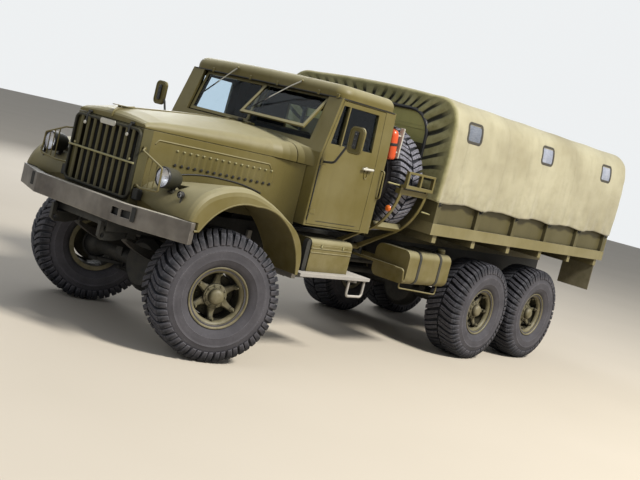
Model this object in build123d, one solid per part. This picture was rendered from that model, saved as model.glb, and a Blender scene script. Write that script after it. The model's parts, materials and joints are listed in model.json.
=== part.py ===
from build123d import *
import math
import os

# Heavy six-wheel-drive cargo truck with a long bonnet and a canvas-covered bed.
# +X is the nose, +Y the driver's side, +Z up, and the origin is on the ground under the middle.
# All lengths are in millimetres.

# Driving dimensions
overall_length = 8645
front_overhang = 1060
wheelbase = 4600
bogie_spacing = 1400
track = 2160
seat_gap = 0.3

nose_x = overall_length / 2
tail_x = -overall_length / 2
front_axle_x = nose_x - front_overhang
mid_axle_x = front_axle_x - wheelbase
rear_axle_x = mid_axle_x - bogie_spacing
bogie_x = (mid_axle_x + rear_axle_x) / 2

# Wheels
wheel_radius = 640
tyre_width = 530
tread_radius = 606
lug_count = 27
lug_width = 66
lug_inner_y = 70
rim_seat_radius = 266
rim_flange_radius = 305
rim_width = 430
rim_wall = 10
spider_arms = 6
hub_radius = 105
hub_bore = 60
running_clearance = 0.05
drum_radius = 215
drum_half_width = 30

# Steering
kingpin_y = 880
steer_rest_deg = -22
ball_radius = 130
cup_inner = 136
cup_outer = 158
kingpin_radius = 25
ear_top = 172
ear_bottom = 137
steer_arm_back = 260
steer_arm_in = 110
steer_arm_width = 80
tie_rod_drop = 5
tie_eye_height = 38
tie_eye_radius = 33
tie_pin_radius = 15
tie_rod_radius = 20

# Frame
rail_outer_y = 430
rail_flange = 90
rail_bottom = 1020
rail_top = 1300
rail_sheet = 12
rail_front_x = front_axle_x + 975
rail_rear_x = tail_x + 160
cross_member_xs = (
    front_axle_x + 880,
    front_axle_x - 1600,
    front_axle_x - 2760,
    mid_axle_x + 900,
    bogie_x,
    rear_axle_x - 400,
    rail_rear_x + 50,
)
spring_y = 385
spring_width = 80
hanger_reach = 650
hanger_low = 966
trunnion_z = 730
trunnion_radius = 45
axle_tube_radius = 80
banjo_radius = 280
snout_reach = 290
snout_rise = 150
axle_pad_top = wheel_radius + 90

# Transfer case and propeller shafts
case_front = front_axle_x - 1760
case_rear = front_axle_x - 2400
case_z = 800
pillow_y = 150
pillow_z = 960
shaft_radius = 42
shaft_flange = 80
shaft_flange_radius = 62

# Cab
cab_front_x = front_axle_x - 870
cab_rear_x = front_axle_x - 1980
cab_bottom = 1440
cab_half_width = 1190
cab_lean = 30
cab_top_half_width = cab_half_width - cab_lean
cab_wall = 45
waist_z = 2200
cowl_z = 2300
drip_z = 2790
crown_z = 2940
pillar_top_x = front_axle_x - 1040
screen_base_x = front_axle_x - 950
screen_top_x = front_axle_x - 1115
screen_half_width = 972
screen_pane_width = 952
screen_middle_y = 481
screen_open_deg = 22
screen_frame_thick = 22
screen_frame_wide = 35
pillar_corner = 14
roof_edge_over = 12
roof_corner = 150
roof_round = 100
roof_side_z = 2922
door_front_x = front_axle_x - 905
door_rear_x = front_axle_x - 1800
door_top_x = front_axle_x - 1078
door_top = 2765
door_bottom = 1460
door_gap = 6
door_hinge_x = door_front_x + 3
door_hinge_y = cab_half_width + 10
door_hinge_zs = (1590, 2110)
door_barrel_radius = 13
door_barrel_length = 44
door_pin_radius = 6
door_ear_length = 16
glass_thick = 6
seat_half = 950
dash_half = 1000
dash_low = 1950
column_y = 480
column_radius = 22
steering_hub = (front_axle_x - 1230, column_y, 2170)
steering_radius = 235
rear_window_half = 400
rear_window_low = 2330
rear_window_high = 2640
mirror_x = front_axle_x - 950
mirror_ys = (1440, 1630)
mirror_zs = (2260, 2540)
mirror_arm_radius = 9
handle_xs = (front_axle_x - 1750, front_axle_x - 1620)
handle_zs = (2118, 2146)

# Bonnet
hood_front_x = front_axle_x + 860
hood_rear_x = front_axle_x - 800
hood_front_half = 515
hood_rear_half = 840
hood_turn = math.atan2(hood_rear_half - hood_front_half, hood_front_x - hood_rear_x)
hood_sheet = 25
lid_gap = 6
lid_bulge = 40
flare_radius = 330
flare_x = front_axle_x - 540
side_sheet = 20
seam_z = 2035
grille_front_x = front_axle_x + 900
grille_back_x = front_axle_x + 866
grille_bottom = 1350
grille_top = 2022
grille_bar_z = 1701
slat_count = 11
slat_half = 12
shell_back_x = front_axle_x + 765
radiator_half = 450
radiator_top = 1990
hood_crown_rear = 2296
hood_hinge_z = 2312
hood_hinge_y = 150
hinge_radius = 12
hinge_pin_radius = 6
hinge_half = 25
hinge_ear_y = 38
louvre_count = 16
louvre_first_x = front_axle_x + 480
louvre_pitch = 73.7
louvre_low = 1752
louvre_high = 1898
louvre_proud = 13
moulding_z = 1955
moulding_front_x = front_axle_x + 690
moulding_rear_x = front_axle_x - 590
moulding_radius = 7

# Bumper
bumper_bottom = 1140
bumper_top = 1340
bumper_depth = 80
bumper_sheet = 12
bumper_flat_half = 700
bumper_half = 1350
bumper_sweep = 268
bumper_turn = math.atan2(bumper_sweep, bumper_half - bumper_flat_half)
slot_ys = (593, 729)
slot_width = 100
slot_low = 1212
slot_high = 1282

tow_eye_x = nose_x - 75
tow_eye_z = 972
tow_eye_radius = 25

# Front wings
wing_inner_y = 520
wing_outer_y = 1335
wing_sheet = 20
wing_round = 78
# (x, z) of the arch's lip from the front axle: the front foot, then two arcs
wing_lip = ((735, 1262), (672, 1268), (470, 1470), (0, 1571), (-524, 1398), (-768, 945))
lamp_x = front_axle_x + 850
lamp_y = 900
lamp_z = 1655
lamp_radius = 98
lamp_length = 200
lamp_stem_radius = 22
lamp_stem_low = 1460
guard_x = front_axle_x + 905
guard_low = 1500
guard_high = 1855

# Bed and canvas
bed_front_x = front_axle_x - 2890
bed_rear_x = tail_x + 25
bed_half_width = 1375
bed_wall = 45
post_depth = 50
post_width = 80
beam_bottom = 1555
floor_bottom = 1600
floor_top = 1650
beam_top = 1690
wall_top = 2560
canvas = 20
hem_z = 1945
canvas_side_top = 2860
canvas_top_z = 3175
canvas_front_x = bed_front_x + canvas + seat_gap
bearer_bottom = 1460
bearer_count = 6
post_count = 6
gate_clearance = 6
bow_count = 6
window_height = 270
window_width = 380
window_corner = 60
arch_half = 980
arch_top = 2940
arch_height = 1640
arch_corner = 300
window_z = 2815
window_shares = (0.0966, 0.4857, 0.8696)
tailgate_top = 2540
gate_hinge_ys = (-800, 0, 800)
gate_barrel_radius = 14
gate_pin_radius = 8
gate_tongue_half = 30

# Running boards and fuel tanks
board_top = 965
tank_rear_x = mid_axle_x + 910
tank_front_x = front_axle_x - 2800
tank_outer_y = 1250
tank_low = 910
tank_high = 1310

# Underbody
pipe_radius = 30

# Spare wheel
spare_x = front_axle_x - 2470
spare_y = 600
spare_z = 2050
cradle_radius = 710
cradle_strip = 14
cradle_width = 45
cradle_half = 265
carrier_pin_radius = 18
carrier_pivot_y = 500
carrier_pivot_z = 1180

# Fire extinguisher
bottle_reach = 95
bottle_radius = 62
bottle_low = 2290


def block(x_low, x_high, y_low, y_high, z_low, z_high):
    """Box between two corners."""
    size = (x_high - x_low, y_high - y_low, z_high - z_low)
    centre = ((x_low + x_high) / 2, (y_low + y_high) / 2, (z_low + z_high) / 2)
    return Pos(*centre) * Box(*size)


def side_prism(points, y_low, y_high):
    """Outline of (x, z) points, carried across from y_low to y_high."""
    face = make_face(Polyline(*points, close=True))
    return Pos(0, y_high, 0) * extrude(Plane.XZ * face, amount=y_high - y_low)


def front_prism(points, x_low, x_high):
    """Outline of (y, z) points, carried along from x_low to x_high."""
    face = make_face(Polyline(*points, close=True))
    return Pos(x_low, 0, 0) * extrude(Plane.YZ * face, amount=x_high - x_low)


def plan_prism(points, z_low, z_high):
    """Outline of (x, y) points, carried up from z_low to z_high."""
    face = make_face(Polyline(*points, close=True))
    return Pos(0, 0, z_low) * extrude(face, amount=z_high - z_low)


def rod(start, end, radius):
    """Round bar between two points."""
    axis = Vector(*end) - Vector(*start)
    return extrude(Plane(origin=start, z_dir=axis) * Circle(radius), amount=axis.length)


def bent_bar(points, radius, bend):
    """Round bar along straight runs joined by arcs."""
    path = FilletPolyline(*points, radius=bend)
    start = Plane(origin=path @ 0, z_dir=path % 0)
    return sweep(start * Circle(radius), path=path)


def cross_bar(x, y, z, radius, length):
    """Round bar that lies across the truck, by its middle."""
    return Pos(x, y, z) * (Rot(90, 0, 0) * Cylinder(radius, length))


def long_bar(x, y, z, radius, length):
    """Round bar that lies along the truck, by its middle."""
    return Pos(x, y, z) * (Rot(0, 90, 0) * Cylinder(radius, length))


def span(side, low, high):
    """Two distances from the middle as y values in order, on the side +1 or -1."""
    return sorted((side * low, side * high))


def both_sides(shape):
    """The shape and its mirror image on the other side."""
    return [shape, mirror(shape, about=Plane.XZ)]


def joined(shapes):
    """One shape fused from several that touch or overlap."""
    result = shapes[0]
    for shape in shapes[1:]:
        result = result + shape
    return result


def steered(shape, side):
    """A shape built for the driver's side at straight ahead, set at its kingpin and turned."""
    if side < 0:
        shape = mirror(shape, about=Plane.XZ)
    return Pos(front_axle_x, side * kingpin_y, wheel_radius) * Rot(0, 0, steer_rest_deg) * shape


def side_wall_section(half_low, half_high, low, bend_z, high):
    """Points of the cab's cross-section, upright up to the waist and then leaning in."""
    return [
        (-half_low, low),
        (half_low, low),
        (half_low, bend_z),
        (half_high, high),
        (-half_high, high),
        (-half_low, bend_z),
    ]


def make_tyre():
    """Tyre with its shoulder lugs, axis along Y, centred on the origin."""
    half = tyre_width / 2
    bead = rim_width / 2 - rim_wall - seat_gap
    bore = rim_seat_radius + seat_gap
    # radius, y: one side of the casing from the bead out to the tread
    profile = [
        (rim_flange_radius, bead),
        (325, half - 26),
        (415, half - 3),
        (520, half - 3),
        (575, half - 20),
        (tread_radius, 190),
    ]
    other = [(radius, -y) for radius, y in reversed(profile)]
    outline = [(bore, -bead), (bore, bead)] + profile + other
    casing = revolve(make_face(Polyline(*outline, close=True)), axis=Axis.Y)
    # radius, y: one lug seen along the tread, over the shoulder and down the sidewall
    lug_outline = [
        (560, half - 40),
        (548, half - 1),
        (588, half - 4),
        (wheel_radius, 212),
        (wheel_radius, lug_inner_y),
        (590, lug_inner_y),
    ]
    lug_face = make_face(Polyline(*lug_outline, close=True))
    lug = Pos(0, 0, -lug_width / 2) * extrude(lug_face, amount=lug_width)
    step = 360 / lug_count
    lugs = [Rot(0, i * step, 0) * lug for i in range(lug_count)]
    lugs += [Rot(0, (i + 0.5) * step, 0) * mirror(lug, about=Plane.XZ) for i in range(lug_count)]
    band = Polyline((500, -half), (wheel_radius, -half), (wheel_radius, half), (500, half), close=True)
    trim = revolve(make_face(band), axis=Axis.Y)
    return casing.fuse(*[shape & trim for shape in lugs])


def make_rim():
    """Rim, six-armed spider, hub and brake drum, outer face towards +Y."""
    half = rim_width / 2
    barrel_in = rim_seat_radius - rim_wall
    outline = [
        (barrel_in, -half),
        (rim_flange_radius, -half),
        (rim_flange_radius, -half + rim_wall),
        (rim_seat_radius, -half + rim_wall),
        (rim_seat_radius, half - rim_wall),
        (rim_flange_radius, half - rim_wall),
        (rim_flange_radius, half),
        (barrel_in, half),
    ]
    rim = revolve(make_face(Polyline(*outline, close=True)), axis=Axis.Y)
    hub = [
        (0, 62),
        (hub_bore + running_clearance, 62),
        (hub_bore + running_clearance, -drum_half_width),
        (drum_radius, -drum_half_width),
        (drum_radius, drum_half_width),
        (hub_radius, drum_half_width + 8),
        (hub_radius, 110),
        (82, 120),
        (75, 175),
        (50, 195),
        (0, 198),
    ]
    centre = revolve(make_face(Polyline(*hub, close=True)), axis=Axis.Y)
    arm_outline = [(hub_radius - 15, -42), (barrel_in + 4, -26), (barrel_in + 4, 26), (hub_radius - 15, 42)]
    arm_face = make_face(Polyline(*arm_outline, close=True))
    arm = Pos(0, 92, 0) * extrude(Plane.XZ * arm_face, amount=42)
    clamp = block(barrel_in - 34, barrel_in + 4, 88, 150, -24, 24)
    spider = [Rot(0, i * 360 / spider_arms + 30, 0) * (arm + clamp) for i in range(spider_arms)]
    return joined([rim, centre] + spider)


def make_knuckle(side):
    """Swivel cup with its two ears, stub shaft and steering arm."""
    half_space = block(-200, 200, 15, 200, -200, 200)
    cup = (Sphere(cup_outer) - Sphere(cup_inner)) & half_space
    stub_length = 116
    stub = cross_bar(0, cup_inner + 6 + stub_length / 2, 0, hub_bore, stub_length)
    ears = [Pos(0, 0, s * (ear_top + ear_bottom) / 2) * Cylinder(60, ear_top - ear_bottom) for s in (1, -1)]
    reach = math.hypot(steer_arm_back, steer_arm_in)
    turn = math.degrees(math.atan2(-steer_arm_in, -steer_arm_back))
    arm_face = Rot(0, 0, turn) * (Pos(reach / 2, 0) * SlotOverall(reach + steer_arm_width, steer_arm_width))
    arm = Pos(0, 0, -ear_top) * extrude(arm_face, amount=ear_top - ear_bottom)
    body = joined([cup, stub] + ears + [arm])
    for up in (1, -1):
        bore_middle = (ball_radius - 10 + ear_top + 10) / 2
        bore = Cylinder(kingpin_radius + running_clearance, ear_top - ball_radius + 20)
        body = body - Pos(0, 0, up * bore_middle) * bore
    if side > 0:
        pin_low = -ear_top - tie_rod_drop - tie_eye_height
        pin_high = 10 - ear_top
        pin = Cylinder(tie_pin_radius, pin_high - pin_low)
        body = body + Pos(-steer_arm_back, -steer_arm_in, (pin_low + pin_high) / 2) * pin
    return steered(body, side)


def arm_end(side):
    """Centre of a steering arm's eye at rest."""
    turn = math.radians(steer_rest_deg)
    x = -steer_arm_back
    y = -side * steer_arm_in
    return (
        front_axle_x + x * math.cos(turn) - y * math.sin(turn),
        side * kingpin_y + x * math.sin(turn) + y * math.cos(turn),
    )


def make_tie_rod():
    """Track rod: an eye on the driver's side pin and a blank end under the other arm."""
    left = arm_end(1)
    right = arm_end(-1)
    z = wheel_radius - ear_top - tie_rod_drop - tie_eye_height / 2
    eye = Pos(left[0], left[1], z) * Cylinder(tie_eye_radius, tie_eye_height)
    blank = Pos(right[0], right[1], z) * Cylinder(tie_eye_radius, tie_eye_height)
    bar = rod((left[0], left[1], z), (right[0], right[1], z), tie_rod_radius)
    hole = Pos(left[0], left[1], z) * Cylinder(tie_pin_radius + running_clearance, tie_eye_height * 2)
    return joined([eye, blank, bar]) - hole


def banjo_and_tubes(half_tube, nose):
    """Axle casing: a round differential housing, tubes and spring pads. nose is +1 or -1 along X."""
    banjo = Rot(0, 90, 0) * Cylinder(banjo_radius, 200)
    banjo = chamfer(banjo.edges().filter_by(GeomType.CIRCLE), 60)
    tubes = Rot(90, 0, 0) * Cylinder(axle_tube_radius, 2 * half_tube)
    snout = Pos(nose * (snout_reach - 100), 0, snout_rise) * (Rot(0, 90, 0) * Cylinder(95, 200))
    pads = both_sides(block(-90, 90, spring_y - 50, spring_y + 50, 0, axle_pad_top - wheel_radius))
    return joined([banjo, tubes, snout] + pads)


def make_front_axle():
    """Front casing with swivel balls and kingpins."""
    casing = banjo_and_tubes(kingpin_y, -1)
    ends = []
    for side in (1, -1):
        ends.append(Pos(0, side * kingpin_y, 0) * Sphere(ball_radius))
        for up in (1, -1):
            kingpin = Cylinder(kingpin_radius, ear_top - ball_radius + 10)
            ends.append(Pos(0, side * kingpin_y, up * (ball_radius - 10 + ear_top) / 2) * kingpin)
    return Pos(front_axle_x, 0, wheel_radius) * joined([casing] + ends)


def make_rear_axle(x):
    """Rear casing with backing plates and stub shafts."""
    hub_y = track / 2
    flange_y = hub_y - drum_half_width - 20
    casing = banjo_and_tubes(flange_y, 1)
    shaft = Rot(90, 0, 0) * Cylinder(hub_bore, 2 * (hub_y + 58))
    plates = []
    for side in (1, -1):
        plates.append(Pos(0, side * flange_y, 0) * (Rot(90, 0, 0) * Cylinder(drum_radius - 10, 16)))
    return Pos(x, 0, wheel_radius) * joined([casing, shaft] + plates)


def make_springs():
    """Front packs curved up at the ends and rear packs curved down over the bogie."""
    pad = axle_pad_top
    # x, half length, end low, end high, middle low, middle high
    packs = [
        (front_axle_x, 700, pad + 200, pad + 230, pad + seat_gap, pad + 110),
        (bogie_x, 760, pad + seat_gap, pad + 35, pad + 100, pad + 210),
    ]
    shapes = []
    for x, half, end_low, end_high, mid_low, mid_high in packs:
        low = ThreePointArc((x - half, end_low), (x, mid_low), (x + half, end_low))
        high = ThreePointArc((x + half, end_high), (x, mid_high), (x - half, end_high))
        front = Line((x + half, end_low), (x + half, end_high))
        rear = Line((x - half, end_high), (x - half, end_low))
        face = make_face(low + high + front + rear)
        y_high = spring_y + spring_width / 2
        pack = Pos(0, y_high, 0) * extrude(Plane.XZ * face, amount=spring_width)
        shapes += both_sides(pack)
    return shapes


def make_frame():
    """Two channel rails, cross-members, spring hangers and the bogie trunnion."""
    y_low = rail_outer_y - rail_flange
    rail = block(rail_rear_x, rail_front_x, y_low, rail_outer_y, rail_bottom, rail_top)
    low = rail_bottom + rail_sheet
    high = rail_top - rail_sheet
    groove = block(rail_rear_x - 1, rail_front_x + 1, y_low - 1, rail_outer_y - rail_sheet, low, high)
    parts = both_sides(rail - groove)
    inner = rail_outer_y - rail_sheet / 2
    for x in cross_member_xs:
        parts.append(block(x - 50, x + 50, -inner, inner, rail_bottom + 30, rail_top - 30))
    for side in (1, -1):
        y = side * spring_y
        half = spring_width / 2
        for x in (front_axle_x + hanger_reach, front_axle_x - hanger_reach):
            parts.append(block(x - 50, x + 50, y - half, y + half, hanger_low, rail_bottom + 5))
        ys = span(side, y_low - 27, y_low + 3)
        parts.append(block(bogie_x - 120, bogie_x + 120, *ys, trunnion_z - 50, rail_top - 60))
        seat_top = axle_pad_top + 99 - seat_gap
        parts.append(block(bogie_x - 60, bogie_x + 60, y - half, y + half, trunnion_z + 10, seat_top))
    parts.append(cross_bar(bogie_x, 0, trunnion_z, trunnion_radius, 2 * (spring_y + 45)))
    return joined(parts)


def make_bumper():
    """Swept channel with two slots on the driver's side and brackets to the rails."""
    back = nose_x - bumper_sweep
    # what a step of one bumper depth does at a swept end, square to its face
    step_x = bumper_depth * math.cos(bumper_turn)
    step_y = bumper_depth * math.sin(bumper_turn)
    front_edge = [(nose_x, -bumper_flat_half), (nose_x, bumper_flat_half), (back, bumper_half)]
    rear_edge = [
        (back - step_x, bumper_half - step_y),
        (nose_x - bumper_depth, bumper_flat_half - 15),
        (nose_x - bumper_depth, 15 - bumper_flat_half),
        (back - step_x, step_y - bumper_half),
    ]
    bar = plan_prism(front_edge + rear_edge + [(back, -bumper_half)], bumper_bottom, bumper_top)
    sheet = bumper_sheet
    hollow = [
        (nose_x - sheet, -bumper_flat_half),
        (nose_x - sheet, bumper_flat_half),
        (back - sheet + 8, bumper_half - 40),
        (back - step_x - 30, bumper_half - step_y - 52),
        (nose_x - bumper_depth - 50, bumper_flat_half - 15),
        (nose_x - bumper_depth - 50, 15 - bumper_flat_half),
        (back - step_x - 30, 52 + step_y - bumper_half),
        (back - sheet + 8, 40 - bumper_half),
    ]
    bar = bar - plan_prism(hollow, bumper_bottom + sheet, bumper_top - sheet)
    for y in slot_ys:
        half = slot_width / 2
        bar = bar - block(nose_x - 60, nose_x + 5, y - half, y + half, slot_low, slot_high)
    for side in (1, -1):
        middle = rail_outer_y - rail_flange / 2
        ys = span(side, middle - 40, middle + 40)
        bar = bar + block(rail_front_x + seat_gap, nose_x - 5, *ys, bumper_bottom + 5, bumper_top - 45)
    return bar


def make_towing_gear():
    """Front towing eyes under the bumper and a rear hitch."""
    eyes = []
    for side in (1, -1):
        y = side * (rail_outer_y - rail_flange / 2)
        under = rail_bottom - seat_gap
        outline = [
            (rail_front_x - 260, under),
            (rail_front_x - 260, 960),
            (rail_front_x - 120, 925),
            (tow_eye_x, 925),
            (nose_x - 30, 960),
            (nose_x - 30, 1105),
            (rail_front_x + 8, 1105),
            (rail_front_x + 8, under),
        ]
        plate = side_prism(outline, y - 20, y + 20)
        eyes.append(plate - cross_bar(tow_eye_x, y, tow_eye_z, tow_eye_radius, 60))
    base = block(rail_rear_x - 60, rail_rear_x - seat_gap, -150, 150, 1060, 1260)
    jaw = block(rail_rear_x - 150, rail_rear_x - 60, -45, 45, 1110, 1210)
    jaw = jaw - Pos(rail_rear_x - 110, 0, 1160) * Cylinder(22, 200)
    return eyes + [base + jaw]


def make_power_unit():
    """Engine, clutch and gearbox as plain blocks at their places."""
    # x low and x high from the front axle, half width, z low, z high
    blocks = [
        (-760, 500, 290, rail_bottom, 1900),
        (-600, 350, 200, 950, rail_bottom + 1),
        (-1480, -760, 200, 930, 1340),
        (290, 410, 400, rail_top + seat_gap, rail_top + 45),
        (-750, -630, 400, rail_top + seat_gap, rail_top + 45),
    ]
    return joined([
        block(front_axle_x + x_low, front_axle_x + x_high, -half, half, low, high)
        for x_low, x_high, half, low, high in blocks
    ])


def make_drive_line():
    """Transfer case and the propeller shafts."""
    case = block(case_rear, case_front, -270, 270, 690, 1030)
    case = chamfer(case.edges().filter_by(Axis.Y), 60)
    snout_z = wheel_radius + snout_rise
    # start x, y, z, then end x, y, z: flat flanges that face along the truck
    shafts = [
        ((front_axle_x - snout_reach, 0, snout_z), (case_front, 0, case_z)),
        ((case_rear, -130, case_z), (mid_axle_x + snout_reach, 0, snout_z)),
        ((case_rear, pillow_y, pillow_z), (mid_axle_x + 55, pillow_y, pillow_z)),
        ((mid_axle_x - 55, pillow_y, pillow_z), (rear_axle_x + snout_reach, 0, snout_z)),
    ]
    solids = [case]
    for start, end in shafts:
        a_in = (start[0] - seat_gap - shaft_flange, start[1], start[2])
        b_in = (end[0] + seat_gap + shaft_flange, end[1], end[2])
        flange_a = rod(a_in, (start[0] - seat_gap, start[1], start[2]), shaft_flange_radius)
        flange_b = rod(b_in, (end[0] + seat_gap, end[1], end[2]), shaft_flange_radius)
        bar = rod((a_in[0] + 30, a_in[1], a_in[2]), (b_in[0] - 30, b_in[1], b_in[2]), shaft_radius)
        solids.append(joined([flange_a, bar, flange_b]))
    ys = (pillow_y - 70, pillow_y + 70)
    bearing = block(mid_axle_x - 55, mid_axle_x + 55, *ys, wheel_radius + 100, pillow_z + 55)
    banjo = long_bar(mid_axle_x, 0, wheel_radius, banjo_radius + seat_gap, 300)
    solids.append(bearing - banjo)
    return solids


def hood_section(x, half, low, crown, corner, share, inset=0):
    """Cross-section of the bonnet's lid: short upright sides, round shoulders and a cambered crown.

    corner is how far a shoulder reaches in, and share how much of the height it takes."""
    w = half - inset
    top = crown - inset
    side_z = low + 14
    shoulder = (w - corner, side_z + (top - side_z) * share)
    # a quarter circle's middle lies 0.71 of the way up and 0.29 of the way in
    bulge = (w - corner * 0.29, side_z + (shoulder[1] - side_z) * 0.71)
    edges = [
        Line((-w, low), (-w, side_z)),
        ThreePointArc((-w, side_z), (-bulge[0], bulge[1]), (-shoulder[0], shoulder[1])),
        ThreePointArc((-shoulder[0], shoulder[1]), (0, top), shoulder),
        ThreePointArc(shoulder, bulge, (w, side_z)),
        Line((w, side_z), (w, low)),
        Line((w, low), (-w, low)),
    ]
    return Plane(origin=(x, 0, 0), x_dir=(0, 1, 0), z_dir=(1, 0, 0)) * make_face(joined(edges))


def hood_line_at(x):
    """Half width of the bonnet's straight sides, as if they ran on to the cab."""
    share = (hood_front_x - x) / (hood_front_x - hood_rear_x)
    return hood_front_half + share * (hood_rear_half - hood_front_half)


def flare_point(radius, reach):
    """Plan point of an arc round the flare's centre, at a distance behind it."""
    middle_y = hood_line_at(flare_x) + flare_radius / math.cos(hood_turn)
    return (flare_x - reach, middle_y - math.sqrt(radius ** 2 - reach ** 2))


def hood_half_at(x):
    """Half width of the bonnet at a place along the truck, with the flare ahead of the cab."""
    reach = flare_x - x
    if reach < flare_radius * math.sin(hood_turn):
        return hood_line_at(x)
    return flare_point(flare_radius, min(reach, flare_radius))[1]


def lid_half_at(x):
    """Half width of the lid, which stands out past the flared sides."""
    start = flare_x - flare_radius * math.sin(hood_turn)
    share = max(0, (start - x) / (start - hood_rear_x))
    return hood_half_at(x) + lid_bulge * min(1, share)


def hood_side_edges(inset, front, rear):
    """Plan of the driver's bonnet side: a straight run and the flare. inset goes inwards."""
    radius = flare_radius + inset
    tangent = radius * math.sin(hood_turn)
    reach = flare_x - rear
    join = flare_point(radius, tangent)
    run = Line((front, hood_line_at(front) - inset / math.cos(hood_turn)), join)
    arc = ThreePointArc(join, flare_point(radius, (tangent + reach) / 2), flare_point(radius, reach))
    return run, arc


def lid_section(x, crown, corner, share, low, inset=0):
    """Section of the lid at x from the front axle."""
    place = front_axle_x + x
    return hood_section(place, lid_half_at(place), low, crown, corner, share, inset)


def make_hood():
    """Bonnet lid, lofted from a narrow rounded nose to a wide high rear that flares to the cab."""
    # x from the front axle, crown z, shoulder's reach, shoulder's share of the height
    rows = [
        (-797, hood_crown_rear, 150, 0.70),
        (-750, hood_crown_rear - 1, 146, 0.70),
        (-690, hood_crown_rear - 4, 140, 0.69),
        (-600, hood_crown_rear - 8, 130, 0.68),
        (-200, 2264, 115, 0.66),
        (200, 2226, 100, 0.63),
        (640, 2180, 80, 0.60),
        (815, 2136, 62, 0.56),
        (850, 2108, 50, 0.52),
        (860, 2088, 44, 0.50),
    ]
    low = seam_z + lid_gap
    outer = loft([lid_section(*row, low) for row in rows], ruled=True)
    inner_rows = [(-820, hood_crown_rear, 150, 0.70)] + rows[1:-2]
    lid = outer - loft([lid_section(*row, low - 20, hood_sheet) for row in inner_rows], ruled=True)
    ridge = side_prism([
        (hood_rear_x + 40, 2275),
        (front_axle_x + 200, 2205),
        (front_axle_x + 700, 2145),
        (front_axle_x + 845, 2092),
        (front_axle_x + 848, 2122),
        (front_axle_x + 815, 2148),
        (front_axle_x + 640, 2190),
        (front_axle_x + 200, 2236),
        (front_axle_x - 200, 2272),
        (hood_rear_x + 40, 2303),
    ], -16, 16)
    lid = lid + ridge
    for side in (1, -1):
        y = side * hood_hinge_y
        ys = (y - hinge_half, y + hinge_half)
        strap = block(hood_rear_x + 3, hood_rear_x + 70, *ys, hood_hinge_z - 40, hood_hinge_z - 8)
        tongue = block(hood_rear_x, hood_rear_x + 20, *ys, hood_hinge_z - hinge_radius, hood_hinge_z - 6)
        barrel = cross_bar(hood_rear_x, y, hood_hinge_z, hinge_radius, 2 * hinge_half)
        bore = cross_bar(hood_rear_x, y, hood_hinge_z, hinge_pin_radius + running_clearance, 60)
        lid = joined([lid, strap, tongue, barrel]) - bore
    return lid


def make_hood_hinges():
    """Ears on the scuttle and the pins that the bonnet lid turns on."""
    parts = []
    for side in (1, -1):
        y = side * hood_hinge_y
        parts.append(cross_bar(hood_rear_x, y, hood_hinge_z, hinge_pin_radius, 90))
        for ear_y in (y - hinge_ear_y, y + hinge_ear_y):
            foot = (hood_rear_x - 60, hood_rear_x - 4, ear_y - 7, ear_y + 7)
            parts.append(block(*foot, hood_crown_rear - 20, hood_hinge_z + 8))
            parts.append(cross_bar(hood_rear_x, ear_y, hood_hinge_z, hinge_radius, 14))
    return parts


def make_hood_sides():
    """Side panels below the bonnet lid, flared to the cab, with louvres and a moulding."""
    rear = cab_front_x + seat_gap
    front = shell_back_x - seat_gap
    run_out, arc_out = hood_side_edges(0, front, cab_front_x + 10)
    run_in, arc_in = hood_side_edges(side_sheet, front, rear)
    foot = arc_out @ 1
    end = Polyline((foot.X, foot.Y), (rear, foot.Y), ((arc_in @ 1).X, (arc_in @ 1).Y))
    start = Line(run_in @ 0, run_out @ 0)
    face = make_face(joined([run_out, arc_out, end, arc_in, run_in, start]))
    panel = Pos(0, 0, 1400) * extrude(face, amount=seam_z - 1400)
    scoop = [(30, -2), (-28, -2), (-28, louvre_proud), (-14, louvre_proud)]
    turn = Rot(0, 0, -math.degrees(hood_turn))
    louvres = []
    for i in range(louvre_count):
        x = louvre_first_x - i * louvre_pitch
        louvres.append(Pos(x, hood_half_at(x), 0) * (turn * plan_prism(scoop, louvre_low, louvre_high)))
    # x and z of the moulding's corners: its ends turn down
    corners = [
        (moulding_front_x + 30, moulding_z - 40),
        (moulding_front_x, moulding_z),
        (moulding_rear_x, moulding_z),
        (moulding_rear_x - 30, moulding_z - 40),
    ]
    moulding = bent_bar([(x, hood_line_at(x), z) for x, z in corners], moulding_radius, 20)
    return both_sides(panel.fuse(*louvres, moulding))


def make_radiator_shell():
    """Shell round the radiator, closed to the bonnet sides."""
    front = grille_back_x - seat_gap
    outer = plan_prism([
        (shell_back_x, -hood_half_at(shell_back_x)),
        (shell_back_x, hood_half_at(shell_back_x)),
        (front, hood_half_at(front)),
        (front, -hood_half_at(front)),
    ], rail_top + seat_gap, seam_z)
    inside = block(shell_back_x - 5, front + 5, -radiator_half, radiator_half, grille_bottom, radiator_top)
    return outer - inside


def make_radiator():
    """Radiator core with side tanks."""
    half = radiator_half - seat_gap
    low = grille_bottom + seat_gap
    return block(shell_back_x - 60, shell_back_x + 40, -half, half, low, radiator_top - seat_gap)


def make_grille():
    """Upright slats between two rails, with a bar across the middle."""
    half = hood_front_half
    rails = [
        block(grille_back_x, grille_front_x, -half, half, grille_bottom, grille_bottom + 30),
        block(grille_back_x, grille_front_x, -half, half, grille_top - 30, grille_top),
        block(grille_front_x - 10, grille_front_x + 12, -half, half, grille_bar_z - 11, grille_bar_z + 11),
    ]
    first = slat_half - half
    pitch = -2 * first / (slat_count - 1)
    for i in range(slat_count):
        y = first + i * pitch
        ys = (y - slat_half, y + slat_half)
        rails.append(block(grille_back_x, grille_front_x, *ys, grille_bottom, grille_top))
    return joined(rails)


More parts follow.
